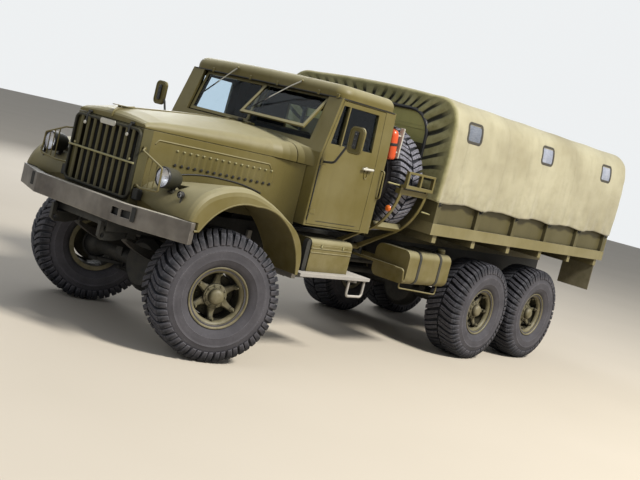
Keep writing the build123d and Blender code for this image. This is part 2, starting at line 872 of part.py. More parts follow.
def wing_section(y, crest):
    """One side view of the wing: its crest from front to rear, then the lip of its arch."""
    plane = Plane(origin=(front_axle_x, y, 0), x_dir=(1, 0, 0), z_dir=(0, -1, 0))
    edges = [ThreePointArc(*crest[:3])]
    for point in crest[3:]:
        edges.append(TangentArc(edges[-1] @ 1, point, tangent=edges[-1] % 1))
    edges.append(Line(crest[-1], wing_lip[-1]))
    edges.append(ThreePointArc(*reversed(wing_lip[3:])))
    edges.append(ThreePointArc(*reversed(wing_lip[1:4])))
    edges.append(Line(wing_lip[1], wing_lip[0]))
    edges.append(Line(wing_lip[0], crest[0]))
    return plane * make_face(joined(edges))


def make_wings():
    """Front wings: a crest and an arch with a rounded outer edge, fitted to bonnet, lamps and bumper."""
    # (x, z) from the front axle: the front foot, the apron, then the ends of three arcs that run on
    beside_bonnet = [(800, 1400), (740, 1515), (600, 1580), (100, 1625), (-400, 1652), (-845, 1490)]
    # x, z as above, then how far the rounded outer edge takes the point in x and z
    outer_side = [
        (800, 1262, -14, 0),
        (765, 1470, -44, -36),
        (600, 1632, -46, -62),
        (-60, 1680, 10, -66),
        (-560, 1440, 12, -10),
        (-800, 945, 6, 0),
    ]
    sections = [wing_section(wing_inner_y, beside_bonnet)]
    for degrees in (0, 35, 62, 90):
        turn = math.radians(degrees)
        y = wing_outer_y - wing_round * (1 - math.sin(turn))
        share = 1 - math.cos(turn)
        crest = [(x + share * in_x, z + share * in_z) for x, z, in_x, in_z in outer_side]
        sections.append(wing_section(y, crest))
    wing = loft(sections, ruled=True)
    core_front = hood_front_x + 60
    run, arc = hood_side_edges(-seat_gap, core_front, cab_front_x + 10)
    foot = arc @ 1
    core_rear = cab_front_x - 60
    rest = Polyline((foot.X, foot.Y), (core_rear, foot.Y), (core_rear, 0), (core_front, 0), run @ 0)
    core = Pos(0, 0, 900) * extrude(make_face(joined([run, arc, rest])), amount=1100)
    lamp_hole = long_bar(lamp_x - 100, lamp_y, lamp_z, lamp_radius + seat_gap, 320)
    cab_zone = block(cab_rear_x, cab_front_x + seat_gap, 0, 1500, cab_bottom - seat_gap, 2000)
    bumper_zone = plan_prism([
        (nose_x + 6, 0),
        (nose_x + 6, bumper_flat_half),
        (nose_x - bumper_sweep + 6, bumper_half + 10),
        (nose_x - bumper_sweep - bumper_depth - 20, bumper_half + 10),
        (nose_x - bumper_depth - 12, bumper_flat_half - 20),
        (nose_x - bumper_depth - 12, 0),
    ], bumper_bottom - 6, bumper_top + 6)
    wing = wing - core - lamp_hole - lamp_stem(seat_gap) - cab_zone - bumper_zone
    return both_sides(wing)


def lamp_stem(grow):
    """Upright stem below a lamp bowl, larger all round by grow."""
    x = lamp_x - lamp_length * 0.75
    foot = (x, lamp_y, lamp_stem_low - grow)
    return rod(foot, (x, lamp_y, lamp_z - lamp_radius * 0.6), lamp_stem_radius + grow)


def make_headlamps():
    """Lamp bowls, each on a stem that is let into its wing."""
    outline = [
        (0, -lamp_length),
        (lamp_radius * 0.6, 5 - lamp_length),
        (lamp_radius - 4, -lamp_length * 0.6),
        (lamp_radius, -lamp_length * 0.55),
        (lamp_radius, 0),
        (0, 0),
    ]
    bowl = revolve(make_face(Polyline(*outline, close=True)), axis=Axis.Y)
    bowl = Pos(lamp_x, lamp_y, lamp_z) * (Rot(0, 0, -90) * bowl)
    return both_sides(joined([bowl, lamp_stem(0)]))


def make_lamp_guards():
    """Bars in front of the headlamps, from the grille to the wing."""
    root_x = grille_back_x - 40
    root_y = hood_half_at(root_x - 16) + seat_gap
    outer_y = lamp_y + 25
    frame = bent_bar([
        (root_x, root_y + 12, guard_high),
        (guard_x, root_y + 90, guard_high - 15),
        (guard_x, outer_y, guard_high - 120),
        (guard_x, outer_y + 10, guard_low + 20),
        (guard_x, root_y + 160, guard_low),
        (root_x, root_y + 12, guard_low),
    ], 9, 18)
    parts = [frame]
    for z in (guard_high, guard_low):
        parts.append(block(root_x - 16, root_x + 16, root_y, root_y + 18, z - 16, z + 16))
    for y in (root_y + 175, root_y + 250, root_y + 325):
        share = (y - root_y - 90) / (outer_y - root_y - 90)
        parts.append(rod((guard_x, y, guard_low + 2), (guard_x, y, guard_high - 15 - share * 105), 6))
    return both_sides(joined(parts))


def screen_x(z):
    """Front face of the windscreen plane at a height."""
    share = (z - cowl_z) / (drip_z - cowl_z)
    return screen_base_x + share * (screen_top_x - screen_base_x)


def door_outline(grow):
    """Door seen from the side, larger all round by grow."""
    return [
        (door_rear_x - grow, door_bottom - grow),
        (door_front_x + grow, door_bottom - grow),
        (door_front_x + grow, waist_z),
        (door_top_x + grow, door_top + grow),
        (door_rear_x - grow, door_top + grow),
    ]


def cab_hollow():
    """Inside of the cab, open at the top."""
    wall = cab_wall
    top = drip_z + 20
    side = [
        (cab_rear_x + wall, cab_bottom + wall),
        (cab_front_x - wall, cab_bottom + wall),
        (cab_front_x - wall, waist_z - 30),
        (screen_base_x - wall, cowl_z),
        (screen_x(top) - wall, top),
        (cab_rear_x + wall, top),
    ]
    section = side_wall_section(cab_half_width - wall, cab_top_half_width - wall, cab_bottom, waist_z, top)
    return side_prism(side, -1300, 1300) & front_prism(section, cab_rear_x - 10, cab_front_x + 10)


def cab_solid():
    """Outside of the cab below the roof, not yet hollow."""
    side = [
        (cab_rear_x, cab_bottom),
        (cab_front_x, cab_bottom),
        (cab_front_x, waist_z),
        (pillar_top_x, drip_z),
        (cab_rear_x, drip_z),
    ]
    section = side_wall_section(cab_half_width, cab_top_half_width, cab_bottom, waist_z, drip_z)
    solid = side_prism(side, -1300, 1300) & front_prism(section, cab_rear_x - 10, cab_front_x + 10)
    middle = (cab_front_x + cab_rear_x) / 2
    plan = Pos(middle, 0) * RectangleRounded(cab_front_x - cab_rear_x, 2 * cab_half_width, pillar_corner)
    return solid & Pos(0, 0, cab_bottom - 10) * extrude(plan, amount=crown_z - cab_bottom)


def make_cab_shell():
    """Cab below the roof, with its scuttle, and openings for doors, windscreen and rear window."""
    shell = cab_solid()
    recess = [
        (cab_front_x + 50, cowl_z),
        (screen_x(cowl_z), cowl_z),
        (screen_x(drip_z + 10), drip_z + 10),
        (cab_front_x + 50, drip_z + 10),
    ]
    shell = shell - side_prism(recess, -screen_half_width, screen_half_width)
    # x from the front axle of the sections behind the lid, where the flare's shoulder swells to the pillar
    scuttle = loft([
        lid_section(x, hood_crown_rear, corner, 0.70, seam_z + lid_gap)
        for x, corner in ((-872, 175), (-868, 172), (-840, 160), (-803, 150))
    ], ruled=True)
    shell = joined([shell, scuttle] + make_hood_hinges())
    shell = shell - cab_hollow()
    for side in (1, -1):
        ys = span(side, 45, screen_half_width - 40)
        shell = shell - block(cab_rear_x + 400, cab_front_x + 10, *ys, cowl_z + 40, drip_z - 40)
        shell = shell - side_prism(door_outline(door_gap), *span(side, 950, 1300))
    ys = (-rear_window_half, rear_window_half)
    shell = shell - block(cab_rear_x - 10, cab_rear_x + cab_wall + 10, *ys, rear_window_low, rear_window_high)
    return fit_door_hinges(shell)


def make_cab_roof():
    """Roof like a pillow: rounded in plan, cambered across and rolled over at every edge."""
    edge = cab_top_half_width + roof_edge_over
    low = drip_z + seat_gap
    front = pillar_top_x + 5
    rear = cab_rear_x - 15
    plan = Pos((front + rear) / 2, 0) * RectangleRounded(front - rear, 2 * edge, roof_corner)
    roof = Pos(0, 0, low) * extrude(plan, amount=crown_z + 20 - low)
    camber = ThreePointArc((-edge - 20, roof_side_z), (0, crown_z), (edge + 20, roof_side_z))
    sides = Polyline(camber @ 1, (edge + 20, low - 10), (-edge - 20, low - 10), camber @ 0)
    section = make_face(joined([camber, sides]))
    roof = roof & Pos(rear - 10, 0, 0) * extrude(Plane.YZ * section, amount=front - rear + 20)
    top = roof.faces().sort_by(Axis.Z)[-1]
    roof = fillet(top.outer_wire().edges(), roof_round)
    hollow = block(cab_rear_x + cab_wall, front - 120, 80 - edge, edge - 80, low - 10, crown_z - 85)
    return roof - hollow


def screen_plane(y):
    """Plane of the windscreen's front face at y, v up along the glass."""
    up = Vector(screen_top_x - screen_base_x, 0, drip_z - cowl_z).normalized()
    normal = Vector(up.Z, 0, -up.X)
    return Plane(origin=(screen_base_x, y, cowl_z), x_dir=(0, 1, 0), z_dir=normal)


def screen_parts():
    """Frame and glass of one windscreen half, in the plane of the screen."""
    length = math.hypot(screen_top_x - screen_base_x, drip_z - cowl_z)
    low = 6
    high = length - 22
    width = screen_pane_width
    edge = 2 * screen_frame_wide
    middle = (low + high) / 2
    rim = Pos(0, middle) * (Rectangle(width, high - low) - Rectangle(width - edge, high - low - edge))
    pane = Pos(0, middle) * Rectangle(width - edge - 2 * seat_gap, high - low - edge - 2 * seat_gap)
    frame = extrude(rim, amount=screen_frame_thick)
    glass = Pos(0, 0, 8) * extrude(pane, amount=glass_thick)
    return frame, glass, high


def make_screens():
    """Windscreen frames: the passenger's shut, the driver's swung out from its top edge."""
    frame, glass, high = screen_parts()
    frames = []
    panes = []
    for side in (1, -1):
        plane = screen_plane(side * screen_middle_y)
        lift = Pos(0, 0, seat_gap)
        if side > 0:
            pivot = Pos(0, high, seat_gap) * Rot(-screen_open_deg, 0, 0) * Pos(0, -high, 0)
            lift = pivot
        frames.append(plane * (lift * frame))
        panes.append(plane * (lift * glass))
    return frames, panes


def hinge_bar(side, z, radius, length):
    """Upright round bar on a door's hinge line."""
    return Pos(door_hinge_x, side * door_hinge_y, z) * Cylinder(radius, length)


def door_leaf(side, z, toward, height):
    """Hinge plate on the cab's skin, from the hinge line towards the nose (+1) or the tail (-1)."""
    reach = door_hinge_x + toward * (90 if toward < 0 else 16)
    x_low, x_high = sorted((door_hinge_x, reach))
    y_low, y_high = sorted((side * (cab_half_width - 2), side * (cab_half_width + 6)))
    return block(x_low, x_high, y_low, y_high, z - height / 2, z + height / 2)


def make_door(side):
    """Door as thick as the cab wall, with its window, handle and mirror."""
    wall = cab_solid() - cab_hollow()
    ys = span(side, 1000, 1300)
    skin = wall & side_prism(door_outline(0), *ys)
    # (x, z) corners of the vent light and of the main light, from the front axle
    vent = [(-990, 2310), (-1085, 2720), (-1175, 2720), (-1135, 2310)]
    main = [(-1160, 2310), (-1200, 2720), (-1690, 2720), (-1690, 2310)]
    glass = []
    for light in (vent, main):
        points = [(front_axle_x + x, z) for x, z in light]
        skin = skin - side_prism(points, *ys)
        glass.append(cab_pane_band() & side_prism(shrink(points, seat_gap), *ys))
    arm = bent_bar([
        (door_front_x - 25, side * (cab_half_width - 6), 2110),
        (door_front_x - 25, side * (cab_half_width + 150), 2130),
        (mirror_x, side * mirror_ys[0], 2330),
        (mirror_x, side * (mirror_ys[0] + 60), 2345),
    ], mirror_arm_radius, 40)
    plate = block(mirror_x - 12, mirror_x + 12, *span(side, *mirror_ys), *mirror_zs)
    plate = fillet(plate.edges().filter_by(Axis.X), 60)
    handle = block(*handle_xs, *span(side, cab_half_width - 1, cab_half_width + 14), *handle_zs)
    door = joined([skin, arm, plate, handle])
    whole_hinge = door_barrel_length + 2 * door_ear_length + 2 * door_gap
    for z in door_hinge_zs:
        door = door - hinge_bar(side, z, door_barrel_radius + door_gap, whole_hinge)
        leaf = door_leaf(side, z, -1, door_barrel_length)
        barrel = hinge_bar(side, z, door_barrel_radius, door_barrel_length)
        door = joined([door, leaf, barrel])
        door = door - hinge_bar(side, z, door_pin_radius + running_clearance, door_barrel_length + 2)
    return door, glass


def fit_door_hinges(shell):
    """Cab shell with room for each door's barrels, and with the ears and pins that carry them."""
    whole_hinge = door_barrel_length + 2 * door_ear_length + 2 * door_gap
    for side in (1, -1):
        for z in door_hinge_zs:
            shell = shell - hinge_bar(side, z, door_barrel_radius + door_gap, whole_hinge)
            leaf = door_leaf(side, z, 1, whole_hinge)
            ears = hinge_bar(side, z, door_barrel_radius, door_barrel_length + 2 * door_ear_length + 2)
            room = hinge_bar(side, z, door_barrel_radius + door_gap, door_barrel_length + 2)
            pin = hinge_bar(side, z, door_pin_radius, whole_hinge - 2 * door_gap)
            shell = joined([shell, leaf + ears - room, pin])
    return shell


def cab_pane_band():
    """Thin layer in the middle of the cab's side walls, where the door glass stands."""
    sections = []
    for depth, over in ((20, 0), (20 + glass_thick, 5)):
        half, top_half = cab_half_width - depth, cab_top_half_width - depth
        points = side_wall_section(half, top_half, cab_bottom - over, waist_z, drip_z + over)
        sections.append(front_prism(points, cab_rear_x - over, cab_front_x + over))
    return sections[0] - sections[1]


def shrink(points, gap):
    """Corners moved towards the middle of a four-sided light by about gap each way."""
    cx = sum(p[0] for p in points) / len(points)
    cz = sum(p[1] for p in points) / len(points)
    return [(x + gap * (1 if x < cx else -1), z + gap * (1 if z < cz else -1)) for x, z in points]


def make_cab_inside():
    """Seat base, dashboard and steering wheel."""
    floor = cab_bottom + cab_wall + seat_gap
    half = seat_half
    base = block(cab_rear_x + 120, cab_rear_x + 620, -half, half, floor, floor + 300)
    cushion = block(cab_rear_x + 110, cab_rear_x + 640, -half, half, floor + 300 + seat_gap, floor + 430)
    back = block(cab_rear_x + 60, cab_rear_x + 170, -half, half, floor + 430 + seat_gap, floor + 900)
    inner = cab_front_x - cab_wall - seat_gap
    dash = side_prism([
        (inner, dash_low),
        (inner, dash_low + 210),
        (inner - 60, dash_low + 250),
        (inner - 150, dash_low + 200),
        (inner - 130, dash_low),
    ], -dash_half, dash_half)
    foot = Vector(inner - 30, column_y, dash_low - 50)
    axis = (Vector(*steering_hub) - foot).normalized()
    column = rod(tuple(foot), steering_hub, column_radius)
    plane = Plane(origin=steering_hub, z_dir=axis)
    ring = plane * Torus(steering_radius, 14)
    spoke = Pos(steering_radius / 2, 0, 0) * Box(steering_radius, 26, 12)
    spokes = [plane * (Rot(0, 0, a) * spoke) for a in (0, 120, 240)]
    dash = dash - rod(tuple(foot - axis * 60), tuple(foot + axis * 300), column_radius + seat_gap)
    return base, [cushion, back], dash, joined([column, ring] + spokes)


def make_bed_floor():
    """Deck with edge beams, cross-bearers and the sills that sit on the frame."""
    outer = block(bed_rear_x, bed_front_x, -bed_half_width, bed_half_width, beam_bottom, beam_top)
    rim = 60
    inside = (bed_rear_x + rim, bed_front_x - rim, rim - bed_half_width, bed_half_width - rim)
    deck = outer - block(*inside, floor_top, beam_top + 5) - block(*inside, beam_bottom - 5, floor_bottom)
    parts = [deck]
    sill_ys = (rail_outer_y - rail_flange, rail_outer_y)
    parts += both_sides(block(bed_rear_x + 100, bed_front_x - 20, *sill_ys, rail_top, floor_bottom + 5))
    bearer_half = bed_half_width - 30
    run = bed_front_x - bed_rear_x - 300
    for i in range(bearer_count):
        x = bed_rear_x + 150 + run * i / (bearer_count - 1)
        parts.append(block(x - 40, x + 40, -bearer_half, bearer_half, bearer_bottom, floor_bottom + 5))
    floor = joined(parts)
    for y in gate_hinge_ys:
        floor = floor - gate_hinge_bar(y, gate_barrel_radius + gate_clearance, 72)
        ears = gate_hinge_bar(y, gate_barrel_radius, 104) - gate_hinge_bar(y, gate_barrel_radius + 1, 74)
        feet = []
        for ear_y in (y + 44, y - 44):
            zs = (beam_top - 20, beam_top + gate_clearance)
            feet.append(block(bed_rear_x - 14, bed_rear_x + 10, ear_y - 7, ear_y + 7, *zs))
        floor = joined([floor, ears, gate_hinge_bar(y, gate_pin_radius, 100)] + feet)
    return floor


def make_bed_walls():
    """Front board and side walls with outside posts."""
    low = beam_top + seat_gap
    panel_out = bed_half_width - post_depth
    parts = []
    for side in (1, -1):
        gate_room = bed_wall + gate_clearance
        ys = span(side, panel_out - bed_wall, panel_out)
        parts.append(block(bed_rear_x + gate_room, bed_front_x, *ys, low, wall_top))
        first = bed_front_x - post_width / 2
        pitch = (bed_front_x - bed_rear_x - gate_room - post_width) / (post_count - 1)
        ys = span(side, panel_out - 5, bed_half_width)
        for i in range(post_count):
            x = first - i * pitch
            parts.append(block(x - post_width / 2, x + post_width / 2, *ys, low, wall_top))
    parts.append(block(bed_front_x - bed_wall, bed_front_x, -panel_out, panel_out, low, wall_top))
    return joined(parts)


def make_tailgate():
    """Rear board between the side walls."""
    half = bed_half_width - gate_clearance
    low = beam_top + gate_clearance
    gate = block(bed_rear_x + 15, bed_rear_x + 45, -half, half, low, tailgate_top)
    posts = [(-half + 40, 40), (half - 40, 40)] + [(y, gate_tongue_half) for y in gate_hinge_ys]
    for y, wide in posts:
        gate = gate + block(bed_rear_x, bed_rear_x + 20, y - wide, y + wide, low, tailgate_top)
    for y in gate_hinge_ys:
        gate = gate - gate_hinge_bar(y, gate_barrel_radius + gate_clearance, 112)
        ys = (y - gate_tongue_half, y + gate_tongue_half)
        tongue = block(bed_rear_x, bed_rear_x + 20, *ys, low, low + 40)
        gate = gate + gate_hinge_bar(y, gate_barrel_radius, 2 * gate_tongue_half) + tongue
        gate = gate - gate_hinge_bar(y, gate_pin_radius + running_clearance, 70)
    return gate


def gate_hinge_bar(y, radius, length):
    """Round bar on the tailgate's hinge line."""
    return cross_bar(bed_rear_x - 3, y, beam_top + gate_clearance, radius, length)


def canvas_section(inset, low):
    """Canvas cross-section: upright sides, sloping shoulders and a low crown, open end at low."""
    side = bed_half_width + canvas + seat_gap - inset
    top = canvas_top_z - inset
    lean = side - 25
    elbow = wall_top + 20
    shoulder = (lean - 215, top - 42)
    bulge = (lean - 60, canvas_side_top + 165)
    lines = [
        Line((-side, low), (-side, elbow)),
        Line((-side, elbow), (-lean, canvas_side_top)),
        ThreePointArc((-lean, canvas_side_top), (-bulge[0], bulge[1]), (-shoulder[0], shoulder[1])),
        ThreePointArc((-shoulder[0], shoulder[1]), (0, top), shoulder),
        ThreePointArc(shoulder, bulge, (lean, canvas_side_top)),
        Line((lean, canvas_side_top), (side, elbow)),
        Line((side, elbow), (side, low)),
        Line((side, low), (-side, low)),
    ]
    return make_face(joined(lines))


def window_places():
    """Middle of each canvas window along the truck."""
    return [canvas_front_x - share * (canvas_front_x - tail_x) for share in window_shares]


def window_block(grow, depth_out, depth_in, side):
    """Rounded window shape through the canvas side."""
    shapes = []
    for x in window_places():
        face = RectangleRounded(window_width + 2 * grow, window_height + 2 * grow, window_corner + grow)
        y_out = bed_half_width + canvas + depth_out
        prism = Pos(x, y_out, window_z) * extrude(Plane.XZ * face, amount=depth_out + depth_in)
        if side < 0:
            prism = mirror(prism, about=Plane.XZ)
        shapes.append(prism)
    return shapes


def make_canopy():
    """Canvas cover: closed over the top and sides, arched opening in front, open above the tailgate."""
    length = canvas_front_x - tail_x
    outer = Pos(tail_x, 0, 0) * extrude(Plane.YZ * canvas_section(0, hem_z), amount=length)
    section = Plane.YZ * canvas_section(canvas, hem_z - 10)
    cover = outer - Pos(tail_x - 5, 0, 0) * extrude(section, amount=length + 5 - canvas)
    arch = RectangleRounded(2 * arch_half, arch_height, arch_corner)
    arch = Plane.YZ * (Pos(0, arch_top - arch_height / 2) * arch)
    cover = cover - Pos(canvas_front_x - 60, 0, 0) * extrude(arch, amount=100)
    for side in (1, -1):
        for shape in window_block(0, 60, 120, side):
            cover = cover - shape
    return cover


def make_canopy_windows():
    """Framed panes in the canvas sides."""
    panes = []
    for side in (1, -1):
        for shape in window_block(-seat_gap, 0, canvas + 25, side):
            panes.append(shape)
    return panes


def make_bows():
    """Hoops that carry the canvas, standing on the side walls."""
    inside = canvas + 5 * seat_gap
    outer = canvas_section(inside, hem_z)
    inner = canvas_section(inside + 35, hem_z - 10)
    foot = wall_top + seat_gap
    bows = []
    first = canvas_front_x - canvas - 60
    last = tail_x + 80
    for i in range(bow_count):
        x = first + (last - first) * i / (bow_count - 1)
        hoop = extrude(Plane.YZ * outer, amount=40) - Pos(-5, 0, 0) * extrude(Plane.YZ * inner, amount=50)
        hoop = Pos(x - 20, 0, 0) * hoop & block(x - 30, x + 30, -1500, 1500, foot, 3400)
        bows.append(hoop)
    return bows


def make_running_boards():
    """Foot plates, their lower stirrups and the brackets to the frame."""
    low = board_top - 35
    parts = [block(front_axle_x - 2030, front_axle_x - 850, 950, 1330, low, board_top)]
    # x and z of the stirrup's corners, hung from the plate
    corners = [(-1990, low + 5), (-1990, low - 185), (-1720, low - 185), (-1720, low + 5)]
    parts.append(bent_bar([(front_axle_x + x, 1290, z) for x, z in corners], 14, 40))
    root = rail_outer_y + seat_gap
    for x in (front_axle_x - 900, front_axle_x - 1950):
        parts.append(block(x - 30, x + 30, root, 1200, low - 55, low + 1))
        parts.append(block(x - 30, x + 30, root, root + 30, low - 55, 1200))
    return both_sides(joined(parts))


def make_side_boxes():
    """Battery box on the driver's side and tool box on the other."""
    box = block(front_axle_x - 1740, front_axle_x - 1060, 700, 1210, board_top + seat_gap, 1310)
    box = fillet(box.edges().filter_by(Axis.X).group_by(Axis.Z)[-1], 60)
    return both_sides(box)


def make_fuel_tanks():
    """Fuel tanks with their filler caps, mounting beams, front brace and guard rail."""
    x_low = tank_rear_x
    x_high = tank_front_x
    root = rail_outer_y + seat_gap
    tank = block(x_low, x_high, 740, tank_outer_y, tank_low, tank_high)
    parts = [fillet(tank.edges().filter_by(Axis.X), 90)]
    parts.append(Pos(x_low + 60, 1100, tank_high + 10) * Cylinder(55, 50))
    for x in (x_low + 180, x_high - 180):
        parts.append(block(x - 35, x + 35, root, 1000, 1060, 1130))
    guard_y = tank_outer_y - 25
    parts.append(bent_bar([
        (x_high + 40, 1100, 1085),
        (x_high + 40, guard_y, 1085),
        (x_high + 10, guard_y, tank_low + 40),
        (x_high - 30, guard_y, tank_low + 40),
    ], 14, 30))
    parts.append(block(x_high + 22, x_high + 54, root, 1115, 1070, 1100))
    parts.append(bent_bar([
        (x_low + 60, 1160, tank_low + 30),
        (x_low + 60, 1160, tank_low - 110),
        (x_high - 40, 1160, tank_low - 60),
        (x_high - 40, 1160, tank_low + 30),
    ], 9, 30))
    return both_sides(joined(parts))


def make_exhaust():
    """Silencer beside the frame and its pipes."""
    y = -(rail_outer_y + 150)
    z = 966
    can_x = front_axle_x - 2300
    can = long_bar(can_x, y, z, 115, 620)
    tail = bent_bar([(can_x - 305, y, z), (can_x - 1600, y, z), (can_x - 1710, y, z - 60)], pipe_radius, 60)
    elbow_x = front_axle_x - 650
    front = bent_bar([
        (can_x + 305, y, z),
        (front_axle_x - 1120, y, z),
        (front_axle_x - 820, -260, z),
        (elbow_x, -245, z),
        (elbow_x, -245, rail_bottom - seat_gap),
    ], pipe_radius, 45)
    root = -rail_outer_y - seat_gap
    hangers = [block(x - 20, x + 20, y + 50, root, z + 70, z + 110) for x in (can_x + 200, can_x - 200)]
    return joined([can, tail, front] + hangers)


def make_spare_carrier():
    """Cradle of two curved strips with cross pieces, hinged beside the frame."""
    parts = []
    inner_r = cradle_radius - cradle_strip
    xs = (spare_x + cradle_half - cradle_width, spare_x - cradle_half)
    start_deg = -2
    end_deg = -58
    for x in xs:
        ring = Circle(cradle_radius) - Circle(inner_r)
        wedge = [(0, 0)]
        for step in range(5):
            a = math.radians(start_deg + (end_deg - start_deg) * step / 4)
            wedge.append((1200 * math.cos(a), 1200 * math.sin(a)))
        sector = make_face(Polyline(*wedge, close=True))
        strip = Pos(x, spare_y, spare_z) * extrude(Plane.YZ * (ring & sector), amount=cradle_width)
        a = math.radians(end_deg)
        end_y = spare_y + (cradle_radius - 7) * math.cos(a)
        end_z = spare_z + (cradle_radius - 7) * math.sin(a)
        leg = [
            (end_y + 8, end_z + 2),
            (end_y - 8, end_z + 12),
            (carrier_pivot_y - 20, carrier_pivot_z + 22),
            (carrier_pivot_y + 20, carrier_pivot_z - 22),
        ]
        parts.append(strip)
        parts.append(front_prism(leg, x, x + cradle_width))
    for deg in (-6, -50):
        a = math.radians(deg)
        bar = Box(2 * cradle_half, cradle_radius - wheel_radius - seat_gap, 60)
        r = (cradle_radius + wheel_radius + seat_gap) / 2
        place = Pos(spare_x, spare_y + r * math.cos(a), spare_z + r * math.sin(a))
        parts.append(place * (Rot(deg, 0, 0) * bar))
    rear = spare_x - cradle_half
    front = spare_x + cradle_half
    outer = spare_y + cradle_radius
    high = spare_z + 165
    parts.append(block(rear, front, outer - cradle_strip, outer + 60, spare_z - 25, spare_z + 10))
    parts.append(block(rear, front, outer + 20, outer + 60, high - 25, high))
    for x in (rear, spare_x - 15, front - 30):
        parts.append(block(x, x + 30, outer + 20, outer + 60, spare_z, high))
    parts.append(long_bar(spare_x, carrier_pivot_y, carrier_pivot_z, 34, 2 * cradle_half))
    bore_radius = carrier_pin_radius + running_clearance
    return joined(parts) - long_bar(spare_x, carrier_pivot_y, carrier_pivot_z, bore_radius, 600)


def make_carrier_bracket():
    """Hinge pin of the spare wheel's cradle and the lugs that hold it."""
    x_low = spare_x - cradle_half - 45
    x_high = spare_x + cradle_half + 45
    pin = long_bar(spare_x, carrier_pivot_y, carrier_pivot_z, carrier_pin_radius, x_high - x_low)
    ys = (rail_outer_y + seat_gap, carrier_pivot_y + 40)
    lugs = [block(x, x + 35, *ys, carrier_pivot_z - 45, carrier_pivot_z + 45) for x in (x_low, x_high - 35)]
    return joined([pin] + lugs)


def make_mudguards():
    """Flaps behind the rear wheels, hung from the bed."""
    flap = block(tail_x + 168, tail_x + 183, 840, bed_half_width - 30, 1080, bearer_bottom - seat_gap)
    return both_sides(flap)


def make_extinguisher():
    """Fire extinguisher on the cab's rear wall, with its upright bracket."""
    y = cab_top_half_width - 45
    x = cab_rear_x - bottle_reach
    low = bottle_low
    high = bottle_low + 310
    outline = [
        (0, low),
        (38, low),
        (bottle_radius, low + 24),
        (bottle_radius, high - 40),
        (22, high),
        (22, high + 60),
        (0, high + 60),
    ]
    bottle = Pos(x, y, 0) * revolve(Plane.XZ * make_face(Polyline(*outline, close=True)), axis=Axis.Z)
    strap = block(x, cab_rear_x - seat_gap, y - 30, y + 30, low + 120, low + 210)
    stand = block(x - 110, x - 88, y + 10, y + 70, low + 20, high + 60)
    arms = [block(x - 100, x, y + 20, y + 45, z, z + 20) for z in (low + 90, high - 90)]
    return joined([bottle, strap, stand] + arms)


def make_rear_window():
    """Glass of the cab's rear window."""
    half = rear_window_half - seat_gap
    x = cab_rear_x + 18
    return block(x, x + glass_thick, -half, half, rear_window_low + seat_gap, rear_window_high - seat_gap)


def make_lamp_lenses():
    """Round glass in front of each lamp bowl."""
    return both_sides(long_bar(lamp_x + 8 + seat_gap, lamp_y, lamp_z, lamp_radius - 10, 16))


def write(name, shapes):
    """Write one node from a shape or a list of shapes that don't touch."""
    if not isinstance(shapes, (list, tuple)):
        shapes = [shapes]
    solids = []
    for shape in shapes:
        solids += list(shape.solids())
    whole = solids[0] if len(solids) == 1 else Compound(children=solids)
    export_step(whole, f"parts/{name}.step")


def build_wheels():
    """All road wheels and the spare."""
    tyre = make_tyre()
    rim = make_rim()
    other_rim = mirror(rim, about=Plane.XZ)
    offset = track / 2 - kingpin_y
    write("tyre_front_left", steered(Pos(0, offset, 0) * tyre, 1))
    write("rim_front_left", steered(Pos(0, offset, 0) * rim, 1))
    write("tyre_front_right", steered(Pos(0, offset, 0) * tyre, -1))
    write("rim_front_right", steered(Pos(0, offset, 0) * rim, -1))
    for label, x in (("mid", mid_axle_x), ("rear", rear_axle_x)):
        write(f"tyre_{label}_left", Pos(x, track / 2, wheel_radius) * tyre)
        write(f"rim_{label}_left", Pos(x, track / 2, wheel_radius) * rim)
        write(f"tyre_{label}_right", Pos(x, -track / 2, wheel_radius) * tyre)
        write(f"rim_{label}_right", Pos(x, -track / 2, wheel_radius) * other_rim)
    spare = Pos(spare_x, spare_y, spare_z) * Rot(0, 0, -90)
    write("spare_tyre", spare * tyre)
    write("spare_rim", spare * rim)


def main():
    os.makedirs("parts", exist_ok=True)
    build_wheels()
    write("knuckle_left", make_knuckle(1))
    write("knuckle_right", make_knuckle(-1))
    write("tie_rod", make_tie_rod())
    write("front_axle", make_front_axle())
    write("rear_axles", [make_rear_axle(mid_axle_x), make_rear_axle(rear_axle_x)])
    write("leaf_springs", make_springs())
    write("frame_rails", make_frame())
    write("front_bumper", make_bumper())
    write("towing_gear", make_towing_gear())
    write("power_unit", make_power_unit())
    write("drive_line", make_drive_line())
    write("hood", make_hood())
    write("hood_sides", make_hood_sides())
    write("radiator_shell", make_radiator_shell())
    write("radiator", make_radiator())
    write("grille", make_grille())
    write("front_wings", make_wings())
    write("headlamps", make_headlamps())
    write("lamp_lenses", make_lamp_lenses())
    write("lamp_guards", make_lamp_guards())
    write("cab_shell", make_cab_shell())
    write("cab_roof", make_cab_roof())
    frames, panes = make_screens()
    write("windscreen_frames", frames)
    write("cab_glass", panes + [make_rear_window()])
    for label, side in (("left", 1), ("right", -1)):
        door, glass = make_door(side)
        write(f"door_{label}", door)
        write(f"door_glass_{label}", glass)
    base, cushions, dash, wheel = make_cab_inside()
    write("seat_base", base)
    write("seat_cushions", cushions)
    write("dashboard", dash)
    write("steering_wheel", wheel)
    write("bed_floor", make_bed_floor())
    write("bed_walls", make_bed_walls())
    write("tailgate", make_tailgate())
    write("canopy", make_canopy())
    write("canopy_windows", make_canopy_windows())
    write("canopy_bows", make_bows())
    write("running_boards", make_running_boards())
    write("side_boxes", make_side_boxes())
    write("fuel_tanks", make_fuel_tanks())
    write("exhaust", make_exhaust())
    write("spare_carrier", make_spare_carrier())
    write("carrier_bracket", make_carrier_bracket())
    write("mudguards", make_mudguards())
    write("extinguisher", make_extinguisher())


main()
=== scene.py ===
import json
import math

import bmesh
import bpy
import numpy as np
from mathutils import Matrix, Vector


